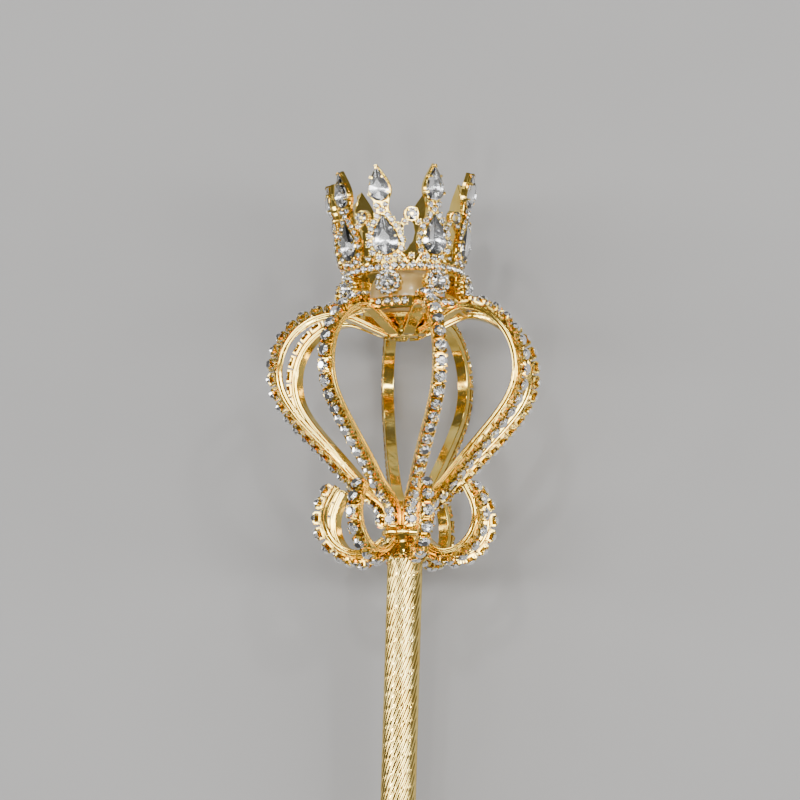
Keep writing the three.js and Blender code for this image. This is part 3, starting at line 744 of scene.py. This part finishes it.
def chain_start(line):
    """Where the line has come past the crown's rim, in small steps from its start."""
    clear = RIM_DIAMETER / 2 + RIM_STONE_REACH + CLEARANCE
    travelled = travelled_along(line)
    lengths = np.arange(0, travelled[-1], SEARCH_STEP)
    return lengths[np.argmax(np.interp(lengths, travelled, line[:, 0]) >= clear)]


def stone_chain(name, line, bearing_at, hand, start):
    """Cups with foils, and stones in them, spread evenly over the room that the chain has."""
    room = travelled_along(line)[-1] - start - CHAIN_END_MARGIN
    count = round(room / STONE_PITCH)
    lengths = start + room / count * (np.arange(count) + 0.5)
    place, across, along, face = stations_along(line, lengths, bearing_at, hand)
    cups = repeated(*cup, place, across, along, face)
    bowls = repeated(*bowl, place, across, along, face)
    points, faces = gathered([cups, bowls])
    shares = [0] * len(cups[1]) + [1, 0]
    new_piece(f"{name}_cups", from_head(points), faces, [gold, foil], [name], False, shares)
    copies = loosely(stone[0], count, girdle, 3)
    points, faces = repeated(copies, stone[1], place, across, along, face)
    new_piece(f"{name}_stones", from_head(points), faces, [glass], [name], False)
    return count


stones = 0
for index in range(BARS):
    line = cage_line(index)
    stones += stone_chain(f"cage_chain_{index + 1}", line, cage_bearing(index), 1, chain_start(line))
    stones += stone_chain(
        f"scroll_chain_{index + 1}", scroll_line(), scroll_bearing(index), -1, SCROLL_CHAIN_START
    )
print("stones in the chains:", stones)

# %% [markdown]
# ## Collar, hub and tail knob
#
# These are turned on a lathe, so each is a profile spun round the axis, with arcs where the
# tool leaves them round. The knob is made a little slimmer than its solid, whose flat bands let
# it lie lower, so that the round knob doesn't dip into the table.

# %% Turned pieces
def arc(centre, radius, start, end, steps):
    """[radius, height] points on a circle, between two angles in degrees from level outwards."""
    angle = np.radians(np.linspace(start, end, steps))
    return np.column_stack([np.cos(angle), np.sin(angle)]) * radius + centre


def turned_piece(name, profile, sides, place, finish, node):
    """The profile turned round the axis, and put in its place on shaft or head."""
    points, faces = turned(profile, sides)
    new_piece(name, place(points), faces, [finish], [node])


EDGE_ROUND = 0.4
BOSS_ROUND = 1.2
barrel = COLLAR_DIAMETER / 2
flange = COLLAR_FLANGE_DIAMETER / 2
boss = COLLAR_BOSS_DIAMETER / 2
boss_top = COLLAR_BOSS_HEIGHT - CLEARANCE
flange_foot = -CLEARANCE - COLLAR_FLANGE_HEIGHT
collar_profile = np.concatenate(
    [
        [[0, -COLLAR_DROP], [barrel - 0.5, -COLLAR_DROP]],
        arc((barrel - EDGE_ROUND, -COLLAR_DROP + EDGE_ROUND), EDGE_ROUND, -90, 0, 5),
        [[barrel, flange_foot - 0.02]],
        arc((flange - EDGE_ROUND, flange_foot + EDGE_ROUND), EDGE_ROUND, -90, 0, 5),
        arc((flange - EDGE_ROUND, -CLEARANCE - EDGE_ROUND), EDGE_ROUND, 0, 90, 5),
        [[boss, -CLEARANCE], [boss, boss_top - BOSS_ROUND]],
        arc((boss - BOSS_ROUND, boss_top - BOSS_ROUND), BOSS_ROUND, 0, 90, 6),
        [[0, boss_top]],
    ]
)
turned_piece("neck_collar_turned", collar_profile, 64, from_head, gold, "neck_collar")

dish_rise = np.radians(DISH_RISE_ANGLE)
bar_end_radius = DISH_RADIUS - BAR_THICKNESS / 2 * np.sin(dish_rise)
bar_end_height = CREST_HEIGHT - DISH_DEPTH + BAR_THICKNESS / 2 * np.cos(dish_rise)
pearl_reach = PEARL_DIAMETER / 2 + CUP_WALL + 2 * CLEARANCE
pearl_height = bar_end_height + np.sqrt(pearl_reach**2 - bar_end_radius**2)
cup_inner = PEARL_DIAMETER / 2 + 0.03
cup_outer = PEARL_DIAMETER / 2 + CLEARANCE + CUP_WALL
hub_base = pearl_height - cup_outer - HUB_HEIGHT
hub_radius = min(HUB_DIAMETER / 2, bar_end_radius - CLEARANCE)
hub_angle = -np.degrees(np.arccos(hub_radius / cup_outer))
rim_angle = np.radians(CUP_RIM_ANGLE)
rim_way = np.array([np.cos(rim_angle), -np.sin(rim_angle)])
rim_spot = rim_way * (cup_inner + 0.4) + [0, pearl_height]
hub_profile = np.concatenate(
    [
        [[0, hub_base - HUB_TIP_HEIGHT]],
        arc((0, hub_base + 0.2), HUB_TIP_DIAMETER / 2, -70, 0, 6),
        arc((hub_radius - 0.3, hub_base + 0.5), 0.3, -90, 0, 5),
        arc((0, pearl_height), cup_outer, hub_angle, -CUP_RIM_ANGLE - 3, 24),
        arc(rim_spot, 0.4, -90, 150, 8),
        arc((0, pearl_height), cup_inner, -CUP_RIM_ANGLE, -88, 24),
        [[0, pearl_height - cup_inner]],
    ]
)
turned_piece("crown_hub_turned", hub_profile, 48, from_head, gold, "crown_hub")

TAIL_RIM = 13 / 2
TAIL_NECK = 8.4 / 2
TAIL_KNOB = 17 / 2
TAIL_FLAT = 8 / 2
TAIL_CAP_HEIGHT = 2.4
TAIL_NECK_HEIGHT = 2.6
CAP_ROUND = 0.5
KNOB_NARROWING = 0.97
tail_top = SHAFT_TOP - SHAFT_LENGTH - CLEARANCE
cap_foot = tail_top - TAIL_CAP_HEIGHT
neck_foot = cap_foot - TAIL_NECK_HEIGHT
knob_centre = neck_foot - np.sqrt(TAIL_KNOB**2 - TAIL_NECK**2)
knob_flat = -np.degrees(np.arccos(TAIL_FLAT / TAIL_KNOB))
knob_neck = np.degrees(np.arccos(TAIL_NECK / TAIL_KNOB))
tail_profile = np.concatenate(
    [
        [[0, knob_centre + TAIL_KNOB * np.sin(np.radians(knob_flat))]],
        arc((0, knob_centre), TAIL_KNOB, knob_flat, knob_neck, 40) * [KNOB_NARROWING, 1],
        arc((TAIL_NECK + 1.2, neck_foot + 1.4), 1.3, 200, 160, 6),
        [[TAIL_NECK, cap_foot]],
        arc((TAIL_RIM - CAP_ROUND, cap_foot + CAP_ROUND), CAP_ROUND, -90, 0, 6),
        arc((TAIL_RIM - CAP_ROUND, tail_top - CAP_ROUND), CAP_ROUND, 0, 90, 6),
        [[0, tail_top]],
    ]
)
turned_piece("tail_knob_turned", tail_profile, 96, from_shaft, gold, "tail_knob")
print("pearl height", round(pearl_height, 2), "tail from", round(tail_top, 1))

# %% [markdown]
# ## Pearl
#
# One smooth ball, turned from a half circle.

# %% Pearl
pearl_profile = arc((0, pearl_height), PEARL_DIAMETER / 2, -90, 90, 40)
pearl_profile[[0, -1], 0] = 0
turned_piece("pearl_bead", pearl_profile, 72, from_head, pearl_painted_shade, "pearl")

# %% [markdown]
# ## The fluted tube
#
# The tube was rolled between shaped dies: 26 slanting ridges run round it, and one very shallow
# thread cuts across them in a close spiral, so that each ridge shows small even notches.
# As a function of the turn and the height, the radius is the tube's own less the hollow between
# two ridges less the thread.

# %% Shaft
FLUTES = 26
FLUTE_DEPTH = 0.36
FLUTE_SLANT = 21
THREAD_PITCH = 4.65
THREAD_WIDTH = 0.42
THREAD_DEPTH = 0.06
FLUTE_STEPS = 5
THREAD_STEPS = 11


def fluted_tube():
    """Outer wall from foot to top, then the inner wall back down, closed at both rims."""
    around = FLUTES * FLUTE_STEPS
    rows = int(SHAFT_LENGTH / THREAD_PITCH * THREAD_STEPS)
    height = np.linspace(0, SHAFT_LENGTH, rows + 1)[:, None]
    slant = np.tan(np.radians(FLUTE_SLANT)) / (SHAFT_DIAMETER / 2)
    own = np.linspace(0, 2 * np.pi, around, endpoint=False)[None, :]
    angle = own + height * slant
    ridge = np.abs(np.cos(own * FLUTES / 2))
    turns = height / THREAD_PITCH - angle / (2 * np.pi)
    off = (turns - np.round(turns)) * THREAD_PITCH
    thread = THREAD_DEPTH * np.exp(-((off / THREAD_WIDTH) ** 2))
    radius = SHAFT_DIAMETER / 2 - FLUTE_DEPTH * (1 - ridge) - thread
    outer = np.stack([radius * np.cos(angle), radius * np.sin(angle), height + 0 * own], axis=-1)
    bore = SHAFT_DIAMETER / 2 - SHAFT_WALL
    ends = angle[[-1, 0]]
    inner = np.stack([bore * np.cos(ends), bore * np.sin(ends), height[[-1, 0]] + 0 * own], axis=-1)
    points = np.concatenate([outer, inner]).reshape(-1, 3)
    index = np.arange(len(points)).reshape(-1, around)
    return points + [0, 0, SHAFT_TOP - SHAFT_LENGTH], [walls_between(index, True)]


shaft_points, shaft_faces = fluted_tube()
new_piece("shaft_fluted", from_shaft(shaft_points), shaft_faces, [pale_gold], ["shaft"])
print("shaft triangles:", made_triangles["shaft_fluted"])

# %% [markdown]
# ## The crown's walls and its drawings
#
# The crown is cast in flat parts that were bent and soldered: a rim and a waist hoop, rosettes,
# tall points and small bridges between them. Each flat part is drawn with x across, y up and z
# out, and is then set on the wall, which leans outwards above the waist. A hand-bent point also
# leans sideways by its own angle.

# %% Sizes of the crown
CROWN_POINTS = 8
CROWN_BEARING = -14
POINT_LEANS = [-3.5, -2.5, 0, 0, -5, 2, 0, 3]
RIM_WALL = 1.3
RIM_HEIGHT = 3.4
ROSETTE_HEIGHT = 7.2
ROSETTE_SEAT = RIM_WALL + 1.6
WAIST_DIAMETER = 32.2
WAIST_HEIGHT = 12
WAIST_BAND = 2.2
FLARE_ANGLE = 9
PLATE = 1.2
PEAR_WIDTH = 7.5
PEAR_LENGTH = 11.2
PEAR_FOOT = 15.6 - WAIST_HEIGHT
PEAR_RIM = 1.3
PEAR_TIP_RIM = 2.6
DROP_WIDTH = 6
DROP_LENGTH = 9.8
DROP_FOOT = 30.8 - WAIST_HEIGHT
DROP_RIM = 0.35
DROP_TIP_RIM = 0.7
STEM_WIDTH = 3.6
FOOT_WIDTH = 5.2
BRIDGE_HEIGHT = 26.6
ARM_SLOPE = 48

# %% Places on the wall
def wall_frame(bearing, radius, height, flare=0, lean=0):
    """The origin of a flat drawing and the ways of its x, y and z, as three rows."""
    outward = outward_at(np.array(bearing, float))
    rise = np.array([0.0, 0.0, 1.0])
    across = np.cross(rise, outward)
    up = rise * np.cos(np.radians(flare)) + outward * np.sin(np.radians(flare))
    rows = turn("z", lean) @ np.array([across, up, np.cross(across, up)])
    return outward * radius + rise * height, rows


def flare_radius(height):
    """The wall's inner radius above the waist."""
    above = (height - WAIST_HEIGHT) * np.tan(np.radians(FLARE_ANGLE))
    return WAIST_DIAMETER / 2 - RIM_WALL + above


def bearing_of(index):
    """Where a point of the crown stands, in even steps from the first one."""
    return CROWN_BEARING + 360 / CROWN_POINTS * index


def frames_round(radius, height, flare=0, between_points=False, leans=(0,) * CROWN_POINTS):
    """Eight frames round the wall, on the bearings of the points or half way between them."""
    bearings = [bearing_of(index + between_points / 2) for index in range(CROWN_POINTS)]
    return [wall_frame(bearing, radius, height, flare, lean) for bearing, lean in zip(bearings, leans)]


waist_wall = (flare_radius(WAIST_HEIGHT), WAIST_HEIGHT, FLARE_ANGLE)
point_frames = frames_round(*waist_wall, leans=POINT_LEANS)
petal_frames = frames_round(*waist_wall, True)
bridge_frames = frames_round(flare_radius(BRIDGE_HEIGHT), BRIDGE_HEIGHT, FLARE_ANGLE, True)
rosette_frames = frames_round(RIM_DIAMETER / 2 - RIM_WALL, ROSETTE_HEIGHT)


def on_frames(part, frames):
    """A flat part, as points and faces, on every one of the frames."""
    origins, rows = (np.array(values) for values in zip(*frames))
    return repeated(*part, origins, rows[:, 0], rows[:, 1], rows[:, 2])


# %% [markdown]
# ## Outlines
#
# A pear shape narrows with the sine of half the angle from its point. An outline can be grown
# along its own normals, and can be walked in even steps, to set small stones round it.

# %% Outlines and plates
def pear_outline(width, length, sides):
    """From the point round by the left to the foot: x follows sin a times sin(a/2) to the
    power 1.2, and y follows (1 + cos a) / 2."""
    angle = np.linspace(0, 2 * np.pi, sides, endpoint=False)
    narrowed = np.sin(angle) * np.sin(angle / 2) ** 1.2
    across = -narrowed / np.abs(narrowed).max() * width / 2
    return np.column_stack([across, (1 + np.cos(angle)) / 2 * length])


def normals_of(outline):
    """Outward normals of a closed outline that runs anticlockwise."""
    chord = np.roll(outline, -1, axis=0) - np.roll(outline, 1, axis=0)
    normal = np.column_stack([chord[:, 1], -chord[:, 0]])
    return normal / np.linalg.norm(normal, axis=1)[:, None]


def even_steps(outline, shares):
    """Points and normals at the given shares of a closed outline's length."""
    once_round = np.arange(len(outline) + 1) % len(outline)
    travelled = travelled_along(outline[once_round])
    where = np.asarray(shares) % 1 * travelled[-1]
    normal = pairs_at(where, travelled, normals_of(outline)[once_round])
    normal /= np.linalg.norm(normal, axis=1)[:, None]
    return pairs_at(where, travelled, outline[once_round]), normal


def stacked(layers, closed_ends=True):
    """Joins outlines of equal count, each with its height, and closes them with two faces, or
    with a last wall back to the first outline."""
    points = np.concatenate([at_height(line, height) for line, height in layers])
    index = np.arange(len(points)).reshape(len(layers), -1)
    if not closed_ends:
        return points, [walls_between(index, True)]
    return points, [walls_between(index), index[:1, ::-1], index[-1:]]


def slab(outline, low, high, edge):
    """A plate with its edges broken by a small chamfer."""
    inner = outline - normals_of(outline) * edge
    return stacked([(inner, low), (outline, low + edge), (outline, high - edge), (inner, high)])


def bezel(outline, gap, wall, low, high):
    """A thin wall round an outline, a little narrower at its top, where it is rubbed over."""
    normal = normals_of(outline)
    inner = outline + normal * gap
    outer = inner + normal * wall
    rubbed = inner + normal * (wall / 2 - 0.18)
    shoulder = high - 0.3
    rings = [(inner, low), (outer, low), (outer, shoulder), (rubbed, high), (inner, shoulder)]
    return stacked(rings, False)


# %% [markdown]
# ## Small set stones
#
# The crown is covered with some hundreds of small stones. Each is a round cup with four bead
# claws and a small brilliant. One cup and one stone of 1 mm are made, with few faces, and are
# copied at their own sizes.

# %% The small setting
quarter = np.radians([45, 135, 225, 315])
quarter_ways = np.column_stack([np.cos(quarter), np.sin(quarter)])


def small_cup():
    """A flared cup with a foil floor, and four beads on its rim."""
    walls = turned([[0.4, 0], [0.5, 0.38], [0.45, 0.38], [0.34, 0.1]], 8)
    ends = [(0.48 * way[:, None] + [-0.07, 0.07]) for way in quarter_ways]
    return gathered([walls, *[block(x, y, 0.3, 0.56) for x, y in ends]])


tiny_cup = small_cup()
tiny_stone = brilliant(0.47, 0.27, 0.16, 0.37, 0.43, 0.64, 6)
tiny_bowl = foil_bowl(0.45, 0.12, 0.35, 8)
settings = []


def set_stones(frames, spots, sizes):
    """Notes small stones at flat spots [x, y, z] on each of the frames, with diameters in mm."""
    spots = np.asarray(spots, float)
    sizes = np.broadcast_to(sizes, len(spots))
    for origin, rows in frames:
        settings.append((origin + spots @ rows, np.repeat(rows[None], len(spots), 0), sizes))


# %% [markdown]
# ## Hoops
#
# Both hoops are bands of strip, set all round with stones. On the rim the stones leave out the
# places where a bar of the cage passes.

# %% Rim and waist
def hoop(diameter, low, high):
    """A band turned round the axis, its outer edges softly rounded."""
    outer = diameter / 2
    inner = outer - RIM_WALL
    profile = [[inner, low], [outer - 0.3, low], [outer, low + 0.3], [outer, high - 0.3]]
    return turned([*profile, [outer - 0.3, high], [inner, high]], 96)


def stones_round(diameter, height, count, size, skip=0):
    """Even settings round a hoop, but none within skip degrees of a cage bar."""
    bearings = np.arange(count) * 360 / count
    to_bar = (bearings - CAGE_BEARING + 180 / BARS) % (360 / BARS) - 180 / BARS
    for bearing in bearings[np.abs(to_bar) >= skip]:
        set_stones([wall_frame(bearing, diameter / 2, height)], [[0, 0, 0]], size)


rim = hoop(RIM_DIAMETER, 0, RIM_HEIGHT)
waist = hoop(WAIST_DIAMETER, WAIST_HEIGHT - WAIST_BAND / 2, WAIST_HEIGHT + WAIST_BAND / 2)
stones_round(RIM_DIAMETER, RIM_HEIGHT / 2, 46, 2.35, 5.5)
stones_round(WAIST_DIAMETER, WAIST_HEIGHT, 44, 2.3)
hoops = gathered([rim, waist])
print("stones on the hoops:", len(settings))

# %% [markdown]
# ## Rosettes
#
# Between the hoops stand eight rosettes: a larger brilliant in a claw cup, with a ring of small
# stones round it on a scalloped disc.

# %% Rosettes
ROSETTE_STONE = 2.2
HALO = 12


def scalloped(radius, depth, lobes):
    """A disc whose radius swells by depth at each lobe."""
    angle = np.linspace(0, 2 * np.pi, 8 * lobes, endpoint=False)
    reach = radius - depth + depth * np.abs(np.cos(angle * lobes / 2))
    return np.column_stack([reach * np.cos(angle), reach * np.sin(angle)])


def claws_round(spots, normals, low, high, width=0.5):
    """Claws at flat spots, each a post that bends over the stone at its top."""
    post = block((0, 0.45), (-width / 2, width / 2), low, high - 0.35)
    tip = block((-0.02, 0.43), (-0.4 * width, 0.4 * width), high - 0.4, high, (-0.55, 0))
    tangents = np.column_stack([-normals[:, 1], normals[:, 0]])
    ways = [at_height(way, 0) for way in (spots, normals, tangents)]
    return repeated(*gathered([post, tip]), *ways, np.repeat([[0, 0, 1.0]], len(spots), 0))


halo_angle = np.arange(HALO) * 2 * np.pi / HALO
halo_way = np.column_stack([np.cos(halo_angle), np.sin(halo_angle)])
disc = slab(scalloped(3.8, 0.35, HALO), 0, ROSETTE_SEAT - 0.3, 0.2)
cup_wall = turned([[1.9, 2.3], [2.05, 2.3], [2.2, 3.3], [2.05, 3.3]], 24)
rosette_claws = claws_round(halo_way[::2] * 2.25, halo_way[::2], 2.4, 4.1, 0.4)
rosette_metal = on_frames(gathered([disc, cup_wall, rosette_claws]), rosette_frames)
set_stones(rosette_frames, at_height(halo_way * 3.05, ROSETTE_SEAT - 0.4), 1.7)
rosette_stone = brilliant(ROSETTE_STONE, 1.25, 2.5, 3.45, 3.6, 4.35, 8)
rosette_bowl = on_frames(foil_bowl(2.05, 2.4, 3.4, 16), rosette_frames)
rosette_glass = on_frames(rosette_stone, rosette_frames)
print("rosettes:", len(rosette_frames), "claws each:", HALO // 2)

# %% [markdown]
# ## Points
#
# Each point is one plate from the waist to its tip: a foot, a leaf with a large pear stone, a
# narrow stem and a second pear stone that stands free above it. The lower stone sits in a rubbed
# bezel with a row of small stones round it, the upper one in five claws.

# %% Points
def leaf_outline():
    """The right side from the foot up, the tip, and the left side back down."""
    leaf = pear_outline(PEAR_WIDTH + 2 * PEAR_RIM, PEAR_LENGTH + PEAR_RIM + PEAR_TIP_RIM, 40)
    leaf = leaf + [0, PEAR_FOOT - PEAR_RIM]
    top = pear_outline(DROP_WIDTH + 2 * DROP_RIM, DROP_LENGTH + DROP_RIM + DROP_TIP_RIM, 32)
    top = top + [0, DROP_FOOT - DROP_RIM]
    side = [leaf[leaf[:, 0] > STEM_WIDTH / 2], top[top[:, 0] > STEM_WIDTH / 2]]
    stem = [[STEM_WIDTH / 2, (side[0][-1, 1] + side[1][0, 1]) / 2]]
    right = np.concatenate([[[FOOT_WIDTH / 2, 0]], side[0], stem, side[1]])
    tip = [[0, DROP_FOOT + DROP_LENGTH + DROP_TIP_RIM]]
    return np.concatenate([right, tip, right[::-1] * [-1, 1]])


PEAR_MIDDLE = 0.36
PEAR_TABLE = 0.42


def pear_cut(width, length, foot, low, depth, sides):
    """A pear stone. Its table is the girdle shrunk to PEAR_TABLE about a middle that lies at
    PEAR_MIDDLE of the length, over the point at its back."""
    outline = pear_outline(width, length, 2 * sides)
    middle = np.array([0, length * PEAR_MIDDLE])
    table = (outline[::2] - middle) * PEAR_TABLE + middle + [0, 0.02 * length]
    heights = (low + depth * 0.32, low + depth * 0.45, low + depth)
    points, faces = cut_stone(outline, table, [*middle, low], heights)
    return points + [0, foot, 0], faces


def foil_plate(width, length, foot, low, high):
    """Foil under a pear stone: its outline at high, hollowed to a point at low."""
    outline = pear_outline(width, length, 20)
    points, faces = hollow_foil(outline, high, [0, length * PEAR_MIDDLE, low], 0.12)
    return points + [0, foot, 0], faces


STONE_SEAT = PLATE + 0.15
HALO_STONES = 15
leaf_plate = slab(leaf_outline(), 0, PLATE, 0.16)
pear_line = pear_outline(PEAR_WIDTH, PEAR_LENGTH, 48) + [0, PEAR_FOOT]
drop_line = pear_outline(DROP_WIDTH, DROP_LENGTH, 48) + [0, DROP_FOOT]
pear_bezel = bezel(pear_line, 0.02, 0.3, PLATE - 0.1, PLATE + 1.25)
drop_gallery = bezel(drop_line, -0.3, 0.28, PLATE - 0.1, PLATE + 0.7)
spots, normals = even_steps(drop_line, [0, 0.14, 0.34, 0.66, 0.86])
drop_claws = claws_round(spots, normals, PLATE - 0.3, PLATE + 1.7, 0.62)
spots, normals = even_steps(pear_line, [0.25, 0.42, 0.58, 0.75])
pear_claws = claws_round(spots, normals, PLATE, PLATE + 1.75, 0.5)
metal = gathered([leaf_plate, pear_bezel, drop_gallery, drop_claws, pear_claws])
point_metal = on_frames(metal, point_frames)
spots, normals = even_steps(pear_line, (np.arange(HALO_STONES) + 0.5) / HALO_STONES)
set_stones(point_frames, at_height(spots + normals * 1.2, PLATE - 0.1), 2.05)
pear_top = PEAR_FOOT + PEAR_LENGTH
cluster = [[0, pear_top + 1.5, PLATE], [-1.3, pear_top + 2.9, PLATE], [1.3, pear_top + 2.9, PLATE]]
set_stones(point_frames, cluster, [1.9, 1.9, 1.9])
foils = [
    foil_plate(PEAR_WIDTH - 0.15, PEAR_LENGTH - 0.2, PEAR_FOOT + 0.1, STONE_SEAT - 0.1, PLATE + 0.8),
    foil_plate(DROP_WIDTH - 0.3, DROP_LENGTH - 0.4, DROP_FOOT + 0.2, STONE_SEAT - 0.1, PLATE + 0.7),
]
point_foil = on_frames(gathered(foils), point_frames)
print("small stones so far:", sum(len(sizes) for place, rows, sizes in settings))

# %% Large clear stones
for index, frame_at in enumerate(point_frames):
    shapes = {
        "pear": pear_cut(PEAR_WIDTH, PEAR_LENGTH, PEAR_FOOT, STONE_SEAT, 2.4, 9),
        "tip": pear_cut(DROP_WIDTH, DROP_LENGTH, DROP_FOOT, STONE_SEAT, 2.2, 8),
    }
    for kind, shape in shapes.items():
        points, faces = on_frames(shape, [frame_at])
        node = f"crown_{kind}_stone_{index + 1}"
        new_piece(f"{node}_cut", from_crown(points), faces, [glass], [node], False)

# %% [markdown]
# ## Bridges and petals
#
# Between two points a bridge carries a round stone on two sloping arms, with small stones along
# them, so that a heart-shaped hole stays open below. Under it two bent petals rise from the
# waist, each with a stone at its tip.

# %% Bridges and petals
def arm_strip(side):
    """A tapering strip from the round setting down to the next point."""
    slope = np.radians(ARM_SLOPE)
    way = np.array([side * np.cos(slope), -np.sin(slope)])
    normal = np.array([-way[1], way[0]]) * side
    ends = [way * 0.6 + normal * 0.75, way * 5.8 + normal * 0.6]
    back = [way * 5.8 - normal * 0.6, way * 0.6 - normal * 0.75]
    line = np.array([*ends, *back])
    return slab(line if side < 0 else line[::-1], 0, 0.9, 0.12)


def petal(side):
    """A pointed leaf, drawn upright and then tilted to one side, with a raised middle rib."""
    outline = pear_outline(2.3, 5.2, 24) + [0, 0.9]
    rib = outline * [0.12, 0.9] + [0, 0.3]
    points, faces = stacked([(outline, 0.1), (outline, 0.8), (rib, 1.35)])
    return points @ turn("z", side * 34) + [side * 0.4, 0, 0], faces


bridge_disc = slab(scalloped(2.2, 0.12, 12), 0, 1.7, 0.15)
bridge_cup = turned([[1.6, 1.5], [1.85, 1.5], [1.95, 2.2], [1.75, 2.2]], 16)
bridge_claws = claws_round(quarter_ways * 1.7, quarter_ways, 1.4, 2.85, 0.4)
bridge = gathered([arm_strip(-1), arm_strip(1), bridge_disc, bridge_cup, bridge_claws])
bridge_metal = on_frames(bridge, bridge_frames)
bridge_stone = brilliant(1.8, 1.0, 1.5, 2.3, 2.42, 3.05, 8)
bridge_glass = on_frames(bridge_stone, bridge_frames)
bridge_bowl = on_frames(foil_bowl(1.72, 1.45, 2.2, 12), bridge_frames)
slope = np.radians(ARM_SLOPE)
along_arm = np.array([2.9, 4.75])[:, None] * [[np.cos(slope), -np.sin(slope)]]
arm_spots = np.concatenate([along_arm, along_arm * [-1, 1]])
set_stones(bridge_frames, at_height(arm_spots, 0.7), 1.85)
petal_metal = on_frames(gathered([petal(-1), petal(1)]), petal_frames)
petal_stones = [[-3.6, 5.7, 0.6], [3.6, 5.7, 0.6], [0, 3.1, 0.5], [-2.9, 2.4, 0.6], [2.9, 2.4, 0.6]]
set_stones(petal_frames, petal_stones, [1.8, 1.8, 1.7, 1.9, 1.9])

# %% The crown in metal, foil and glass
place = np.concatenate([spots for spots, rows, sizes in settings])
scaled = np.concatenate([rows * sizes[:, None, None] for spots, rows, sizes in settings])
ways_of = [scaled[:, k] for k in range(3)]
tiny_metal = repeated(*tiny_cup, place, *ways_of)
tiny_foil = repeated(*tiny_bowl, place, *ways_of)
tiny_glass = repeated(loosely(tiny_stone[0], len(place), 0.38, 4), tiny_stone[1], place, *ways_of)


def crown_piece(name, parts, finish):
    """Parts of the crown as one piece with flat faces."""
    points, faces = gathered(parts)
    new_piece(name, from_crown(points), faces, [finish], ["crown_frame"], False)


crown_piece("crown_metal", [hoops, point_metal, rosette_metal], gold)
crown_piece("crown_bridges", [bridge_metal, petal_metal], gold)
crown_piece("crown_cups", [tiny_metal], gold)
crown_piece("crown_foils", [tiny_foil, rosette_bowl, bridge_bowl, point_foil], foil)
crown_piece("crown_small_stones", [tiny_glass, rosette_glass, bridge_glass], glass)
print("small stones on the crown:", len(place))

# %% [markdown]
# ## Table, light and camera
#
# The table is a plain pale sheet. Long soft strip lights stand round and above it with darker
# gaps between them, because polished gold shows only what it mirrors, and three small lights
# give the stones their sparkle. The camera looks at the front of the head, a little from below
# the crown, and is far away, as for the photograph.

# %% Table
def table_top():
    """Pale grey paper with a faint cloud, and a fine grain in its roughness."""
    recipe = Recipe("pale_table")
    cloud = recipe.noise(9, 3)
    colour = recipe.ramp(cloud, [(0.3, (0.265, 0.26, 0.255)), (0.7, (0.285, 0.28, 0.275))])
    return recipe.finish({"Base Color": colour, "Roughness": recipe.noise(900) * 0.1 + 0.6})


floor_mesh = bpy.data.meshes.new("table_top")
corners = [(-3, -3, 0), (3, -3, 0), (3, 3, 0), (-3, 3, 0)]
floor_mesh.from_pydata(corners, [], [(0, 1, 2, 3)])
floor_mesh.materials.append(table_top())
floor = bpy.data.objects.new("table_top", floor_mesh)
bpy.context.scene.collection.objects.link(floor)

# %% Light
def soft_light(name, place, size, power):
    """A white rectangle of that size in metres, turned so that it shines at the head."""
    data = bpy.data.lights.new(name, "AREA")
    data.shape = "RECTANGLE"
    data.size = size[0]
    data.size_y = size[1]
    data.energy = power
    lamp = bpy.data.objects.new(name, data)
    lamp.location = place
    lamp.rotation_euler = (middle - Vector(place)).to_track_quat("-Z", "Y").to_euler()
    bpy.context.scene.collection.objects.link(lamp)


middle = Vector(neck + 0.03 * axis_way)
for number, across in enumerate((-0.62, -0.29, 0.31, 0.64)):
    soft_light(f"over_{number}", (across, 0.1, 1.1), (0.12, 1.1), 4)
soft_light("key", (1.05, 0.05, 0.7), (0.3, 1.2), 12)
soft_light("side", (-1.15, 0.2, 0.5), (0.25, 1.1), 9)
soft_light("back", (0.0, 1.4, 0.75), (1.2, 0.2), 8)
soft_light("front", (-0.1, -1.2, 0.75), (1.0, 0.15), 5)
for number, place in enumerate([(0.05, -0.35, 1.25), (-0.1, 0.65, 1.15), (0.62, 0.6, 1.0)]):
    soft_light(f"spark_{number}", place, (0.07, 0.07), 2.2)
world = bpy.data.worlds.new("studio")
world.use_nodes = True
background = world.node_tree.nodes["Background"].inputs
background["Color"].default_value = (1.0, 0.99, 0.97, 1)
background["Strength"].default_value = 0.13
bpy.context.scene.world = world

# %% Camera
CAMERA_DISTANCE = 1412
VIEW_FROM_BELOW = 7.5
SHAFT_LEAN_IN_VIEW = 1.66
PIXEL = 0.2824
PICTURE = 800
NECK_PIXEL = np.array([405.95, 530])

below = np.radians(VIEW_FROM_BELOW)
front_way = -back_way
to_camera = front_way * np.cos(below) - axis_way * np.sin(below)
straight_up = axis_way * np.cos(below) + front_way * np.sin(below)
lean = np.radians(SHAFT_LEAN_IN_VIEW)
picture_up = straight_up * np.cos(lean) - right_way * np.sin(lean)
picture_right = right_way * np.cos(lean) + straight_up * np.sin(lean)
from_neck = (PICTURE / 2 - NECK_PIXEL) * PIXEL / 1000
target = neck + picture_right * from_neck[0] - picture_up * from_neck[1]
eye = target + to_camera * CAMERA_DISTANCE / 1000
camera_data = bpy.data.cameras.new("camera")
camera_data.sensor_width = 36
camera_data.lens = 36 * CAMERA_DISTANCE / (PICTURE * PIXEL)
camera_data.clip_end = 20
camera = bpy.data.objects.new("camera", camera_data)
turned_to = np.column_stack([picture_right, picture_up, to_camera])
camera.matrix_world = Matrix.Translation(Vector(eye)) @ Matrix(turned_to.tolist()).to_4x4()
bpy.context.scene.collection.objects.link(camera)
bpy.context.scene.camera = camera
print("camera", eye.round(3), "lens", round(camera_data.lens, 1))

# %% Finish
print("triangles:", sum(made_triangles.values()), "pieces:", len(made_triangles))
